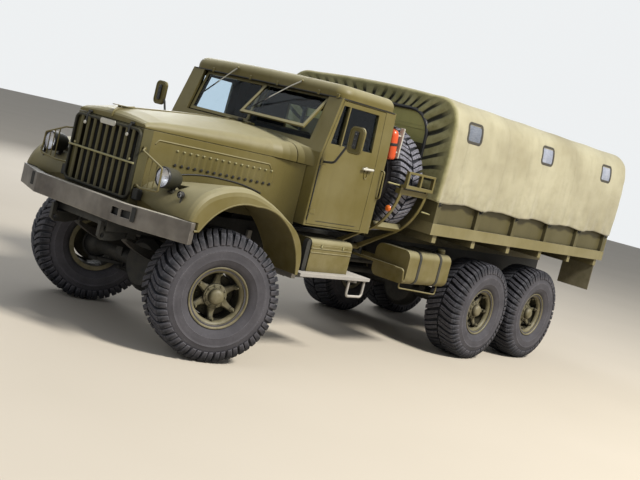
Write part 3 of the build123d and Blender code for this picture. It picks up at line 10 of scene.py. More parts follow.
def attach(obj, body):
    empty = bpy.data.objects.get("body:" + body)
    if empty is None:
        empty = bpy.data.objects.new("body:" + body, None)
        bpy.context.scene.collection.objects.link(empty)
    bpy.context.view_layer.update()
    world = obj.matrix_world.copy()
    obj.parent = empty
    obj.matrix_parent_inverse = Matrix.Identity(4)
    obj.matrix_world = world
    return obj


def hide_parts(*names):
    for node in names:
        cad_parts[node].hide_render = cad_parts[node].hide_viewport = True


# Six-wheel cargo truck under a canvas cover. Metres, +X is the nose, +Y the driver's side, +Z up.

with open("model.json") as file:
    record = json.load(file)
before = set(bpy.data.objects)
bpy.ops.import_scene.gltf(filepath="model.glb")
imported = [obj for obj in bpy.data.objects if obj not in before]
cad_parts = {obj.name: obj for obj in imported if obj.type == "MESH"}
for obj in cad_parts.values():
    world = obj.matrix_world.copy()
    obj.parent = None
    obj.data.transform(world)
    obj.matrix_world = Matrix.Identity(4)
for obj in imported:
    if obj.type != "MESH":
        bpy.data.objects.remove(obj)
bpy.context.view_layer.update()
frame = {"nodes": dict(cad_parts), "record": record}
print("frame loaded:", len(frame["nodes"]), "nodes")

truck = {
    "frontAxle": 3.2625,
    "midAxle": -1.3375,
    "rearAxle": -2.7375,
    "hubHeight": 0.64,
    "halfTrack": 1.08,
    "kingpin": 0.88,
    "steer": -22,  # degrees
    "rolled": {"mid": 0.5, "rear": -0.3},  # how far each wheel has turned
    "spare": (-2.47, 0.6, 2.05),  # from the front axle
}
frontAxle = truck["frontAxle"]


def fromAxle(points):
    # places whose x is measured from the front axle
    return np.array(points, float) + [frontAxle, 0, 0]


# Shapes: points are (n, 3) arrays, faces are a list of (k, corners) arrays

def gridFaces(rows, columns, ringRows=False, ringColumns=False):
    # quads of a grid of points that is stored row after row
    r, c = np.meshgrid(
        np.arange(rows if ringRows else rows - 1),
        np.arange(columns if ringColumns else columns - 1),
        indexing="ij",
    )
    r2, c2 = (r + 1) % rows, (c + 1) % columns
    corners = [r * columns + c, r * columns + c2, r2 * columns + c2, r2 * columns + c]
    return np.stack(corners, -1).reshape(-1, 4)


def gridShape(points, ringRows=False, ringColumns=False, turned=False):
    # points is (rows, columns, 3)
    faces = gridFaces(points.shape[0], points.shape[1], ringRows, ringColumns)
    return points.reshape(-1, 3), [faces[:, ::-1] if turned else faces]


def gather(shapes):
    # several shapes as one
    points, faces, start = [], [], 0
    for p, groups in shapes:
        points.append(p)
        faces += [f + start for f in groups]
        start += len(p)
    return np.concatenate(points), faces


def moved(shape, matrix):
    # every point through the 4x4
    m = np.array(matrix, float)
    return shape[0] @ m[:3, :3].T + m[:3, 3], shape[1]


def mirrored(shape):
    # the same shape on the other side, with its faces turned to point out again
    return shape[0] * np.array([1, -1, 1]), [f[:, ::-1] for f in shape[1]]


def both(shape):
    # the shape and its mirror image
    return gather([shape, mirrored(shape)])


def copies(shape, matrices):
    # one copy of the shape for each 4x4 matrix
    m = np.array(matrices, float)
    points = np.einsum("kij,nj->kni", m[:, :3, :3], shape[0]) + m[:, None, :3, 3]
    shift = np.arange(len(m))[:, None, None] * len(shape[0])
    return points.reshape(-1, 3), [(f[None] + shift).reshape(-1, f.shape[1]) for f in shape[1]]


def placedAt(origin, out=(0, 0, 1), along=(1, 0, 0)):
    # 4x4 whose z axis is out and whose x axis is as near along as it can be
    z = Vector(out).normalized()
    x = Vector(along)
    x = (x - z * x.dot(z)).normalized()
    y = z.cross(x)
    m = Matrix((x, y, z)).transposed().to_4x4()
    m.translation = origin
    return np.array(m)


def lathe(profile, sides=48, closed=False):
    # (radius, height) points turned about z; a radius of 0 closes the end
    profile = np.array(profile, float)
    a = np.linspace(0, 2 * np.pi, sides, endpoint=False)
    r, h = profile[:, :1], profile[:, 1:]
    points = np.stack([r * np.cos(a), r * np.sin(a), h + 0 * a], -1)
    return gridShape(points, ringRows=closed, ringColumns=True)


def latheAt(profile, sides, origin, out=(0, 0, 1), along=(1, 0, 0)):
    # the same, standing at a place and pointing out
    return moved(lathe(profile, sides), placedAt(origin, out, along))


def disc(radius, height, sides=24, up=True):
    # one flat face of points round a circle
    a = np.linspace(0, 2 * np.pi, sides, endpoint=False)
    points = np.stack([radius * np.cos(a), radius * np.sin(a), height + 0 * a], -1)
    order = np.arange(sides)
    return points, [(order if up else order[::-1])[None]]


def carried(outline, path, up=(0, 0, 1), ringPath=False, caps=True, scale=None):
    # a closed outline of (side, up) points carried along a path,
    # in the frame of the path's direction and the given up
    path, outline = np.array(path, float), np.array(outline, float)
    if ringPath:
        forward = np.roll(path, -1, 0) - np.roll(path, 1, 0)
    else:
        forward = np.gradient(path, axis=0)
    forward /= np.linalg.norm(forward, axis=1, keepdims=True)
    side = np.cross(forward, np.array(up, float))
    side /= np.linalg.norm(side, axis=1, keepdims=True)
    top = np.cross(side, forward)
    size = np.ones(len(path)) if scale is None else np.array(scale, float)
    points = path[:, None] + size[:, None, None] * (
        outline[None, :, :1] * side[:, None] + outline[None, :, 1:] * top[:, None]
    )
    shape = gridShape(points, ringRows=ringPath, ringColumns=True)
    if ringPath or not caps:
        return shape
    n, count = len(outline), len(path)
    ends = [np.arange(n)[::-1][None], (np.arange(n) + (count - 1) * n)[None]]
    return shape[0], shape[1] + ends


def roundOutline(radius, sides=10):
    # points round a circle
    a = np.linspace(0, 2 * np.pi, sides, endpoint=False)
    return np.stack([np.cos(a), np.sin(a)], -1) * radius


def boxOutline(wide, high, edge=0.0):
    # rectangle about the middle with cut corners, anticlockwise
    x, y, e = wide / 2, high / 2, edge
    if e <= 0:
        return np.array([(-x, -y), (x, -y), (x, y), (-x, y)])
    return np.array(
        [(-x + e, -y), (x - e, -y), (x, -y + e), (x, y - e)]
        + [(x - e, y), (-x + e, y), (-x, y - e), (-x, -y + e)]
    )


def softPath(corners, bend, steps=5):
    # straight runs whose corners are replaced by curves that start and end a bend's length from the corner
    corners = np.array(corners, float)
    most = 0.45  # of a run that a curve may take
    t = np.linspace(0, 1, steps)[:, None]
    runs = [corners[:1]]
    for before, corner, after in zip(corners[:-2], corners[1:-1], corners[2:]):
        a, b = before - corner, after - corner
        la, lb = np.linalg.norm(a), np.linalg.norm(b)
        start = corner + a / la * min(bend, la * most)
        end = corner + b / lb * min(bend, lb * most)
        runs.append((1 - t) ** 2 * start + 2 * t * (1 - t) * corner + t ** 2 * end)
    runs.append(corners[-1:])
    return np.concatenate(runs)


def evenly(points, count):
    # the same line with its points at equal steps along it
    points = np.array(points, float)
    step = np.linalg.norm(np.diff(points, axis=0), axis=1)
    along = np.concatenate([[0], np.cumsum(step)])
    at = np.linspace(0, along[-1], count)
    return np.stack([np.interp(at, along, points[:, i]) for i in range(points.shape[1])], -1)


def curveThrough(points, steps=8):
    # Catmull-Rom line through the points
    p = np.array(points, float)
    p = np.concatenate([2 * p[:1] - p[1:2], p, 2 * p[-1:] - p[-2:-1]])
    t = np.linspace(0, 1, steps, endpoint=False)[None, :, None]
    a, b, c, d = (p[i:len(p) - 3 + i, None] for i in range(4))
    square, cube = 2 * a - 5 * b + 4 * c - d, 3 * b - a - 3 * c + d
    line = 0.5 * (2 * b + (c - a) * t + square * t ** 2 + cube * t ** 3)
    return np.concatenate([line.reshape(-1, p.shape[1]), np.array(points[-1:], float)])


def roundedRing(halfWide, halfHigh, corner, steps=8):
    # closed ring of a rounded rectangle, anticlockwise from the middle of its right side
    ring = []
    for quarter, (sx, sy) in enumerate(((1, 1), (-1, 1), (-1, -1), (1, -1))):
        a = np.linspace(quarter * np.pi / 2, (quarter + 1) * np.pi / 2, steps)
        across = sx * (halfWide - corner) + corner * np.cos(a)
        ring.append(np.stack([across, sy * (halfHigh - corner) + corner * np.sin(a)], -1))
    return np.concatenate(ring)


def cornerArc(half, top, r, steps):
    # (y, z) points of an arch's rounded corner, from its side up to its top
    t = np.linspace(0, np.pi / 2, steps)
    return list(zip(half - r + r * np.cos(t), top - r + r * np.sin(t)))


def upright(ring, x, y=0.0, z=0.0):
    # a flat ring stood across the truck: its columns become y and z
    return np.stack([x + 0 * ring[:, 0], y + ring[:, 0], z + ring[:, 1]], -1)


def arcThrough(a, m, b, steps=18):
    # points of the circle through three (x, z) points, by its centre and the three angles
    (ax, az), (mx, mz), (bx, bz) = a, m, b
    d = 2 * (ax * (mz - bz) + mx * (bz - az) + bx * (az - mz))
    sa, sm, sb = ax * ax + az * az, mx * mx + mz * mz, bx * bx + bz * bz
    cx = (sa * (mz - bz) + sm * (bz - az) + sb * (az - mz)) / d
    cz = (sa * (bx - mx) + sm * (ax - bx) + sb * (mx - ax)) / d
    turn = np.unwrap([math.atan2(z - cz, x - cx) for x, z in (a, m, b)])
    t = np.interp(np.linspace(0, 2, steps), [0, 1, 2], turn)
    r = math.hypot(ax - cx, az - cz)
    return np.stack([cx + r * np.cos(t), cz + r * np.sin(t)], -1)


def bar(corners, radius, bend=0.03, sides=10, up=(0, 0, 1), steps=5):
    # round bar along straight runs with softened corners
    return carried(roundOutline(radius, sides), softPath(corners, bend, steps), up)


def dome(radius, height, sides=16):
    # low button, flat at its foot
    a = np.linspace(0, np.pi / 2, 6)
    return lathe([(radius, -0.002)] + list(zip(radius * np.cos(a), height * np.sin(a))), sides)


def block(low, high, edge=0.004):
    # box between two corners with bevelled edges: three points at each corner
    low, high = np.array(low, float), np.array(high, float)
    middle, half = (low + high) / 2, (high - low) / 2
    e = min(edge, half.min() * 0.9)
    signs = np.array([(x, y, z) for x in (-1, 1) for y in (-1, 1) for z in (-1, 1)], float)
    pulled = signs[:, None] * (half - e * (1 - np.eye(3)))[None]
    points = (middle + pulled).reshape(-1, 3)

    def at(x, y, z, axis):
        # number of a corner's point on the face across this axis
        return (4 * (x > 0) + 2 * (y > 0) + (z > 0)) * 3 + axis

    quads, corners = [], []
    for axis in range(3):
        b, c = (axis + 1) % 3, (axis + 2) % 3
        for s in (-1, 1):
            ring = []
            for u, v in ((-1, -1), (1, -1), (1, 1), (-1, 1)):
                k = [0, 0, 0]
                k[axis], k[b], k[c] = s, u, v
                ring.append(at(*k, axis))
            quads.append(ring if s > 0 else ring[::-1])
        for u, v in ((-1, -1), (1, -1), (1, 1), (-1, 1)):
            k1, k2 = [0, 0, 0], [0, 0, 0]
            k1[axis], k2[axis] = -1, 1
            k1[b], k1[c], k2[b], k2[c] = u, v, u, v
            ring = [at(*k1, b), at(*k2, b), at(*k2, c), at(*k1, c)]
            quads.append(ring if u * v > 0 else ring[::-1])
    for x in (-1, 1):
        for y in (-1, 1):
            for z in (-1, 1):
                ring = [at(x, y, z, 0), at(x, y, z, 1), at(x, y, z, 2)]
                corners.append(ring if x * y * z > 0 else ring[::-1])
    return points, [np.array(quads), np.array(corners)]


def axleBlock(low, high, edge=0.004):
    # the same, with x measured from the front axle
    return block(fromAxle(low), fromAxle(high), edge)


def blocksAt(places, low, high, edge=0.004):
    # the same block at each place, its corners measured from there
    return [block(np.add(place, low), np.add(place, high), edge) for place in places]


def plate(outline, axis, low, high):
    # flat outline of a closed ring of points, carried from low to high along x, y or z (axis 0, 1 or 2)
    outline = np.array(outline, float)
    n = len(outline)
    points = np.zeros((2, n, 3))
    b, c = (axis + 1) % 3, (axis + 2) % 3
    points[..., b], points[..., c] = outline[:, 0], outline[:, 1]
    points[0, :, axis], points[1, :, axis] = low, high
    sides = gridFaces(2, n, ringColumns=True)
    area = np.sum(outline[:, 0] * np.roll(outline[:, 1], -1) - outline[:, 1] * np.roll(outline[:, 0], -1))
    order = np.arange(n)
    if area < 0:
        return points.reshape(-1, 3), [sides[:, ::-1], order[None], order[::-1][None] + n]
    return points.reshape(-1, 3), [sides, order[::-1][None], order[None] + n]


def bolt(size=0.012, head=0.008):
    # hexagonal head with a chamfered top, on a washer
    washer = lathe([(size * 1.45, -0.002), (size * 1.45, 0.002), (size * 1.0, 0.0025)], 12)
    nut = lathe([(size, 0.001), (size, 0.001 + head * 0.75), (size * 0.78, 0.001 + head)], 6)
    return gather([washer, nut, disc(size * 0.78, 0.001 + head, 6)])


def boltRow(points, out, size=0.012, head=0.008):
    # the same bolt at each point, all facing out
    return copies(bolt(size, head), [placedAt(p, out, (0.3, 0.5, 0.8)) for p in points])


def piece(name, shape, finish, smooth=38, body="chassis", replaces=(), uv=None):
    # one object at the origin from a shape, with its finish, riding on its body
    mesh = bpy.data.meshes.new(name)
    faces = [face for group in shape[1] for face in group.tolist()]
    mesh.from_pydata(shape[0].tolist(), [], faces)
    if uv is not None:
        layer = mesh.uv_layers.new(name="flat")
        corners = np.zeros(len(mesh.loops), np.int32)
        mesh.loops.foreach_get("vertex_index", corners)
        layer.data.foreach_set("uv", uv[corners].astype(np.float32).ravel())
    welded = bmesh.new()
    welded.from_mesh(mesh)
    bmesh.ops.remove_doubles(welded, verts=welded.verts, dist=1e-6)
    welded.to_mesh(mesh)
    welded.free()
    mesh.shade_smooth()
    mesh.set_sharp_from_angle(angle=math.radians(smooth))
    mesh.materials.append(finishes[finish])
    made = bpy.data.objects.new(name, mesh)
    bpy.context.scene.collection.objects.link(made)
    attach(made, body)
    if replaces:
        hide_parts(*replaces)
    return made


# Finishes

def nodeIn(tree, kind, inputs=None, **settings):
    # one node, its settings and its inputs: a value for a socket, or another node's output to link
    made = tree.nodes.new("ShaderNode" + kind)
    for label, value in settings.items():
        setattr(made, label, value)
    for socket, value in (inputs or {}).items():
        if isinstance(value, bpy.types.NodeSocket):
            tree.links.new(value, made.inputs[socket])
        else:
            made.inputs[socket].default_value = value
    return made


def mathIn(tree, operation, a, b=0.0, clamp=False):
    return nodeIn(tree, "Math", {0: a, 1: b}, operation=operation, use_clamp=clamp).outputs[0]


def timesIn(tree, a, b, clamp=False):
    return mathIn(tree, "MULTIPLY", a, b, clamp)


def plusIn(tree, a, b):
    return mathIn(tree, "ADD", a, b)


def shadeOf(colour, share=1.0):
    # a colour as a socket takes it, darkened to a share of itself
    return tuple(share * v for v in colour) + (1,)


def rangeIn(tree, value, low, high, start=0.0, end=1.0):
    # low to high becomes start to end
    return nodeIn(tree, "MapRange", {0: value, 1: low, 2: high, 3: start, 4: end}).outputs[0]


def mixIn(tree, factor, a, b):
    # a where the factor is 0, b where it is 1
    made = nodeIn(tree, "Mix", data_type="RGBA")
    for socket, value in ((made.inputs[0], factor), (made.inputs[6], a), (made.inputs[7], b)):
        if isinstance(value, bpy.types.NodeSocket):
            tree.links.new(value, socket)
        else:
            socket.default_value = value
    return made.outputs[2]


def noiseIn(tree, vector, scale, detail=3.0, rough=0.55):
    inputs = {"Vector": vector, "Scale": scale, "Detail": detail, "Roughness": rough}
    return nodeIn(tree, "TexNoise", inputs).outputs[0]


def partsIn(tree, vector):
    # x, y and z of a vector
    return nodeIn(tree, "SeparateXYZ", {0: vector}).outputs


def flatIn(tree):
    # the piece's own uv, as X and Y
    return partsIn(tree, nodeIn(tree, "UVMap", uv_map="flat").outputs[0])


def stretchedIn(tree, vector, scale):
    # the same coordinates, scaled along each axis
    return nodeIn(tree, "Mapping", {"Vector": vector, "Scale": scale}).outputs[0]


def shutIn(tree, distance, samples=4, ownOnly=False):
    # 1 in the open, less where something stands near
    shut = nodeIn(tree, "AmbientOcclusion", {"Distance": distance}, samples=samples, only_local=ownOnly)
    return shut.outputs["AO"]


def newGroup(name, inputs, outputs):
    # shader group with its sockets: (name, kind, value) going in, (name, kind) coming out
    tree = bpy.data.node_groups.new(name, "ShaderNodeTree")
    for label, kind, value in inputs:
        socket = tree.interface.new_socket(label, in_out="INPUT", socket_type="NodeSocket" + kind)
        socket.default_value = value
    for label, kind in outputs:
        tree.interface.new_socket(label, in_out="OUTPUT", socket_type="NodeSocket" + kind)
    return tree, tree.nodes.new("NodeGroupInput").outputs, tree.nodes.new("NodeGroupOutput").inputs


def makeEdgeGroup():
    # rounded normal at edges, and where an edge stands out or a corner is closed in
    results = [("Edge", "Float"), ("Corner", "Float"), ("Normal", "Vector")]
    tree, given, result = newGroup("edges", [("Radius", "Float", 0.006)], results)
    rounded = nodeIn(tree, "Bevel", {"Radius": given["Radius"]}, samples=4).outputs[0]
    flat = nodeIn(tree, "NewGeometry").outputs["True Normal"]
    dot = nodeIn(tree, "VectorMath", {0: rounded, 1: flat}, operation="DOT_PRODUCT").outputs["Value"]
    tree.links.new(rangeIn(tree, dot, 0.995, 0.85), result["Edge"])
    tree.links.new(rangeIn(tree, shutIn(tree, 0.06, ownOnly=True), 0.95, 0.35), result["Corner"])
    tree.links.new(rounded, result["Normal"])
    return tree


weathering = {
    "streak": 0.28,
    "mottle": 0.16,
    "dustTop": 1.7,
    "dustFull": 0.35,
    "ledgeDust": 0.45,
    "cornerDust": 0.35,
    "edgeWear": 0.55,
    "dent": 0.0035,
    "grain": 0.00012,
}


def makeWeatherGroup():
    # tops faded by the sun and paler still as a painted highlight where faces look up, rain streaks on the
    # sides, dust that rises from the ground and lies on ledges
    tree, given, result = newGroup(
        "weather",
        [
            ("Paint", "Color", (0.2, 0.17, 0.06, 1)),
            ("Bleached", "Color", (0.3, 0.27, 0.15, 1)),
            ("Dust Colour", "Color", (0.5, 0.42, 0.3, 1)),
            ("Bleach", "Float", 0.6),
            ("Dust", "Float", 0.3),
            ("Patches", "Float", 0.35),
            ("Edge", "Float", 0.0),
            ("Corner", "Float", 0.0),
        ],
        [("Colour", "Color"), ("Loose", "Float"), ("Height", "Float")],
    )
    w = weathering
    place = nodeIn(tree, "TexCoord").outputs
    facing = partsIn(tree, place["Normal"])["Z"]
    height = partsIn(tree, place["Object"])["Z"]
    wide = noiseIn(tree, place["Object"], 1.7, 4.0)
    fine = noiseIn(tree, place["Object"], 9.0, 5.0, 0.65)
    stretched = stretchedIn(tree, place["Object"], (14, 14, 1.1))
    streak = rangeIn(tree, noiseIn(tree, stretched, 1.0, 3.0), 0.52, 0.72)
    patches = timesIn(tree, rangeIn(tree, wide, 0.42, 0.68), given["Patches"])
    # painted highlight: faces that look up take the pale tone, on top of the faded patches
    bleach = timesIn(tree, plusIn(tree, rangeIn(tree, facing, 0.1, 0.95), patches), given["Bleach"], True)
    colour = mixIn(tree, bleach, given["Paint"], given["Bleached"])
    dark = nodeIn(tree, "HueSaturation", {"Value": 0.72, "Color": colour}).outputs[0]
    colour = mixIn(tree, timesIn(tree, streak, w["streak"]), colour, dark)
    colour = mixIn(tree, timesIn(tree, rangeIn(tree, fine, 0.55, 0.75), w["mottle"]), colour, dark)
    low = rangeIn(tree, height, w["dustTop"], w["dustFull"])
    ledge = timesIn(tree, rangeIn(tree, facing, 0.6, 1.0), w["ledgeDust"])
    lying = timesIn(tree, plusIn(tree, low, ledge), rangeIn(tree, fine, 0.35, 0.62))
    caught = timesIn(tree, given["Corner"], w["cornerDust"])
    loose = timesIn(tree, plusIn(tree, lying, caught), given["Dust"], True)
    colour = mixIn(tree, loose, colour, given["Dust Colour"])
    worn = timesIn(tree, given["Edge"], rangeIn(tree, fine, 0.4, 0.6))
    colour = mixIn(tree, timesIn(tree, worn, w["edgeWear"]), colour, given["Bleached"])
    dents = timesIn(tree, noiseIn(tree, place["Object"], 4.0, 1.0), w["dent"])
    grain = timesIn(tree, noiseIn(tree, place["Object"], 260.0, 2.0), w["grain"])
    tree.links.new(colour, result["Colour"])
    tree.links.new(loose, result["Loose"])
    tree.links.new(plusIn(tree, dents, grain), result["Height"])
    return tree


edgeGroup = makeEdgeGroup()
weatherGroup = makeWeatherGroup()


def newFinish(name, **values):
    # material with values on its shader's own sockets
    material = bpy.data.materials.new(name)
    material.use_nodes = True
    shader = material.node_tree.nodes["Principled BSDF"]
    for label, value in values.items():
        shader.inputs[label].default_value = value
    return material, material.node_tree, shader


def groupIn(tree, group, **inputs):
    # the group placed in a tree, each input a value or a link
    made = tree.nodes.new("ShaderNodeGroup")
    made.node_tree = group
    for label, value in inputs.items():
        socket = made.inputs[label.replace("_", " ")]
        if isinstance(value, bpy.types.NodeSocket):
            tree.links.new(value, socket)
        else:
            socket.default_value = value
    return made.outputs


def finishSurface(tree, shader, colour, rough, height, distance=1.0, normal=None):
    # the last links of a finish: its colour, its roughness and its bumps
    tree.links.new(colour, shader.inputs["Base Color"])
    if rough is not None:
        tree.links.new(rough, shader.inputs["Roughness"])
    inputs = {"Height": height, "Distance": distance}
    if normal is not None:
        inputs["Normal"] = normal
    tree.links.new(nodeIn(tree, "Bump", inputs).outputs[0], shader.inputs["Normal"])


cabRoom = {
    "floor": 1.482,
    "rear": frontAxle - 1.937,
    # the walls and the front lean in: low height, high height, limit at each
    "wall": (2.20, 2.78, 1.152, 1.122),
    "front": (2.27, 2.79, frontAxle - 0.912, frontAxle - 1.150),
    # the roof falls near the walls: inner y, outer y, limit at each
    "roof": (1.088, 1.092, 2.862, 2.788),
    # near-black painted shade on the faces inside the cab
    "colour": (0.003, 0.004, 0.005),
}


def insideCab(tree):
    # 1 on the faces that look into the cab, by their place between its walls, its floor and its roof
    c = cabRoom
    x, y, z = partsIn(tree, nodeIn(tree, "TexCoord").outputs["Object"])
    out = mathIn(tree, "ABSOLUTE", y)
    mask = mathIn(tree, "LESS_THAN", out, rangeIn(tree, z, *c["wall"]))
    mask = timesIn(tree, mask, mathIn(tree, "LESS_THAN", x, rangeIn(tree, z, *c["front"])))
    mask = timesIn(tree, mask, mathIn(tree, "GREATER_THAN", x, c["rear"]))
    mask = timesIn(tree, mask, mathIn(tree, "LESS_THAN", z, rangeIn(tree, out, *c["roof"])))
    return timesIn(tree, mask, mathIn(tree, "GREATER_THAN", z, c["floor"]))


def weathered(
    name, paint, bleached, rough=0.55, bleach=0.6, dust=0.25, patches=0.35, radius=0.006, metallic=0.0,
    specular=0.5, shade=0.92, reach=0.7, closed=(0.62, 0.20), cabin=False,
):
    # painted or bare metal: rounded edges, sun fading with a painted highlight on faces that look up,
    # streaks, dust, and painted shade where it is shut in
    material, tree, shader = newFinish(name, **{"Metallic": metallic, "Specular IOR Level": specular})
    edges = groupIn(tree, edgeGroup, Radius=radius)
    weather = groupIn(
        tree, weatherGroup, Paint=shadeOf(paint), Bleached=shadeOf(bleached), Bleach=bleach, Dust=dust,
        Patches=patches, Edge=edges["Edge"], Corner=edges["Corner"],
    )
    # painted shade: the colour falls to 0.12 of the paint where ambient occlusion finds something near
    shut = timesIn(tree, rangeIn(tree, shutIn(tree, reach, 6), *closed), shade)
    colour = mixIn(tree, shut, weather["Colour"], shadeOf(paint, 0.12))
    # painted shade: the faces inside the cab take a near-black colour
    if cabin:
        cabinShadeMask = insideCab(tree)
        shut = mathIn(tree, "MAXIMUM", shut, cabinShadeMask)
        colour = mixIn(tree, cabinShadeMask, colour, shadeOf(cabRoom["colour"]))
    dusty = rangeIn(tree, weather["Loose"], 0.0, 1.0, rough, 0.92)
    rough = mathIn(tree, "MAXIMUM", dusty, shut)
    finishSurface(tree, shader, colour, rough, weather["Height"], normal=edges["Normal"])
    return material


# what each finish changes; what hangs under the truck gets its painted shade over a wider reach
under = dict(shade=0.97, reach=1.0)
paints = {
    "bodyPaint": dict(
        paint=(0.130, 0.104, 0.026), bleached=(0.325, 0.295, 0.175),
        rough=0.5, bleach=0.85, dust=0.18, patches=0.22, specular=0.35,
    ),
    "cabPaint": dict(
        paint=(0.124, 0.099, 0.024), bleached=(0.325, 0.295, 0.175),
        rough=0.5, bleach=0.85, dust=0.18, patches=0.20, specular=0.35, cabin=True,
    ),
    # a paler copy of the olive paint, with little shade: painted light on the board in the canvas arch
    "archPaint": dict(
        paint=(0.48, 0.45, 0.15), bleached=(0.56, 0.53, 0.24), rough=0.6, bleach=0.5, dust=0.1, shade=0.35,
    ),
    # a darker copy of the body paint: painted shade on the grille bars and shell, which face away from the
    # light
    "grillePaint": dict(
        paint=(0.085, 0.074, 0.026), bleached=(0.185, 0.165, 0.09),
        rough=0.5, bleach=0.75, dust=0.18, specular=0.35,
    ),
    # deep painted shade in the wheels, over a short reach
    "wheelPaint": dict(
        paint=(0.105, 0.092, 0.040), bleached=(0.19, 0.17, 0.10),
        rough=0.5, shade=0.97, reach=0.22, closed=(0.80, 0.35),
    ),
    # a paler copy of the olive paint: painted light on the louvre buttons and small fittings
    "paleOlive": dict(
        paint=(0.27, 0.245, 0.105), bleached=(0.42, 0.39, 0.23), rough=0.5, bleach=0.7, dust=0.1, shade=0.6,
    ),
    "beamPaint": dict(
        paint=(0.195, 0.165, 0.070), bleached=(0.38, 0.34, 0.21),
        rough=0.5, bleach=0.8, dust=0.2, specular=0.35, closed=(0.78, 0.36), **under,
    ),
    "panelPaint": dict(
        paint=(0.088, 0.074, 0.028), bleached=(0.20, 0.18, 0.10), rough=0.5, dust=0.2, specular=0.35,
    ),
    "paleSteel": dict(
        paint=(0.54, 0.52, 0.45), bleached=(0.72, 0.70, 0.63), rough=0.42, bleach=0.8, dust=0.1, shade=0.4,
    ),
    "lampShell": dict(
        paint=(0.022, 0.022, 0.015), bleached=(0.075, 0.068, 0.038), rough=0.5, dust=0.06, specular=0.25,
    ),
    "polished": dict(
        paint=(0.90, 0.90, 0.96), bleached=(0.94, 0.94, 0.97),
        rough=0.42, bleach=0.2, dust=0.0, patches=0.1, metallic=1.0, shade=0.0,
    ),
    "orangeLens": dict(
        paint=(0.75, 0.16, 0.02), bleached=(0.80, 0.25, 0.06),
        rough=0.15, bleach=0.2, dust=0.03, patches=0.1, shade=0.2,
    ),
    "seatCloth": dict(
        paint=(0.030, 0.028, 0.020), bleached=(0.060, 0.055, 0.040),
        rough=0.8, bleach=0.3, dust=0.1, radius=0.002,
    ),
    "chassisPaint": dict(
        paint=(0.013, 0.014, 0.012), bleached=(0.045, 0.042, 0.032),
        rough=0.62, bleach=0.4, dust=0.10, closed=(0.80, 0.38), **under,
    ),
    "bumperPaint": dict(
        paint=(0.072, 0.062, 0.054), bleached=(0.50, 0.47, 0.41),
        rough=0.5, bleach=0.95, dust=0.15, patches=0.40, radius=0.016,
    ),
    "springSteel": dict(
        paint=(0.016, 0.016, 0.015), bleached=(0.045, 0.040, 0.034),
        rough=0.6, bleach=0.4, dust=0.15, closed=(0.75, 0.30), **under,
    ),
    "engineIron": dict(
        paint=(0.022, 0.022, 0.020), bleached=(0.050, 0.047, 0.040),
        rough=0.6, bleach=0.4, dust=0.15, metallic=0.3, closed=(0.75, 0.30), **under,
    ),
    "coreMetal": dict(
        paint=(0.006, 0.007, 0.007), bleached=(0.014, 0.014, 0.013), rough=0.7, bleach=0.2, dust=0.05,
    ),
    "wornSteel": dict(
        paint=(0.31, 0.295, 0.275), bleached=(0.56, 0.53, 0.49), rough=0.5, bleach=0.9, dust=0.15,
    ),
    "redPaint": dict(
        paint=(0.62, 0.075, 0.012), bleached=(0.72, 0.16, 0.06),
        rough=0.3, bleach=0.5, dust=0.06, patches=0.2,
    ),
    "blackPlastic": dict(
        paint=(0.014, 0.014, 0.015), bleached=(0.03, 0.03, 0.03), rough=0.35, bleach=0.2, dust=0.1,
    ),
    "flapRubber": dict(
        paint=(0.105, 0.092, 0.050), bleached=(0.16, 0.145, 0.09), rough=0.8, bleach=0.4, dust=0.3,
    ),
    "coverTrim": dict(
        paint=(0.055, 0.050, 0.040), bleached=(0.12, 0.11, 0.085),
        rough=0.8, bleach=0.5, dust=0.2, radius=0.002,
    ),
}
finishes = {name: weathered(name, **values) for name, values in paints.items()}


def makeGlass(name, colour, rough, bend):
    # bend is the index of refraction
    values = {"Base Color": (*colour, 1), "Roughness": rough, "IOR": bend, "Transmission Weight": 1.0}
    return newFinish(name, **values)[0]


finishes["clearGlass"] = makeGlass("clearGlass", (0.74, 0.84, 0.91), 0.02, 1.18)
finishes["lampGlass"] = makeGlass("lampGlass", (0.95, 0.96, 0.96), 0.08, 1.35)

# CAD nodes whose finish isn't their slot's
finishOfNode = {name: "cabPaint" for name in ("cab_shell", "cab_roof", "door_left", "door_right")}
finishOfNode.update(radiator_shell="grillePaint", bed_floor="beamPaint", bed_walls="panelPaint")


def finishOf(part):
    # a slot's finish has the slot's name: body_paint is bodyPaint
    first, *others = part["material_slot"].split("_")
    return finishOfNode.get(part["node"], first + "".join(word.title() for word in others))


for part in frame["record"]["subparts"]:
    shown = frame["nodes"][part["node"]]
    if finishOf(part) in finishes:
        for place in shown.material_slots:
            place.material = finishes[finishOf(part)]
    shown.data.shade_smooth()
print("finishes made")


# Wheels

def wheelPlaces():
    # each wheel's body, CAD nodes and 4x4: local z is the axle line, pointing out of the truck
    t = truck
    steer = math.radians(t["steer"])
    places = []

    def add(label, matrix):
        places.append((label + "_wheel", "tyre_" + label, "rim_" + label, matrix))

    for side, sign in (("left", 1), ("right", -1)):
        out = Vector((-math.sin(steer), math.cos(steer), 0)) * sign
        kingpin = Vector((frontAxle, sign * t["kingpin"], t["hubHeight"]))
        centre = kingpin + out * (t["halfTrack"] - t["kingpin"])
        add("front_" + side, placedAt(centre, out, (0, 0, 1)))
        for label, rolled in t["rolled"].items():
            centre = (t[label + "Axle"], sign * t["halfTrack"], t["hubHeight"])
            add(f"{label}_{side}", placedAt(centre, (0, sign, 0), (rolled, 0, 1)))
    spare = placedAt(fromAxle(t["spare"]), (1, 0, 0), (0, 0.2, 1))
    return places + [("spare_cradle", "spare_tyre", "spare_rim", spare)]


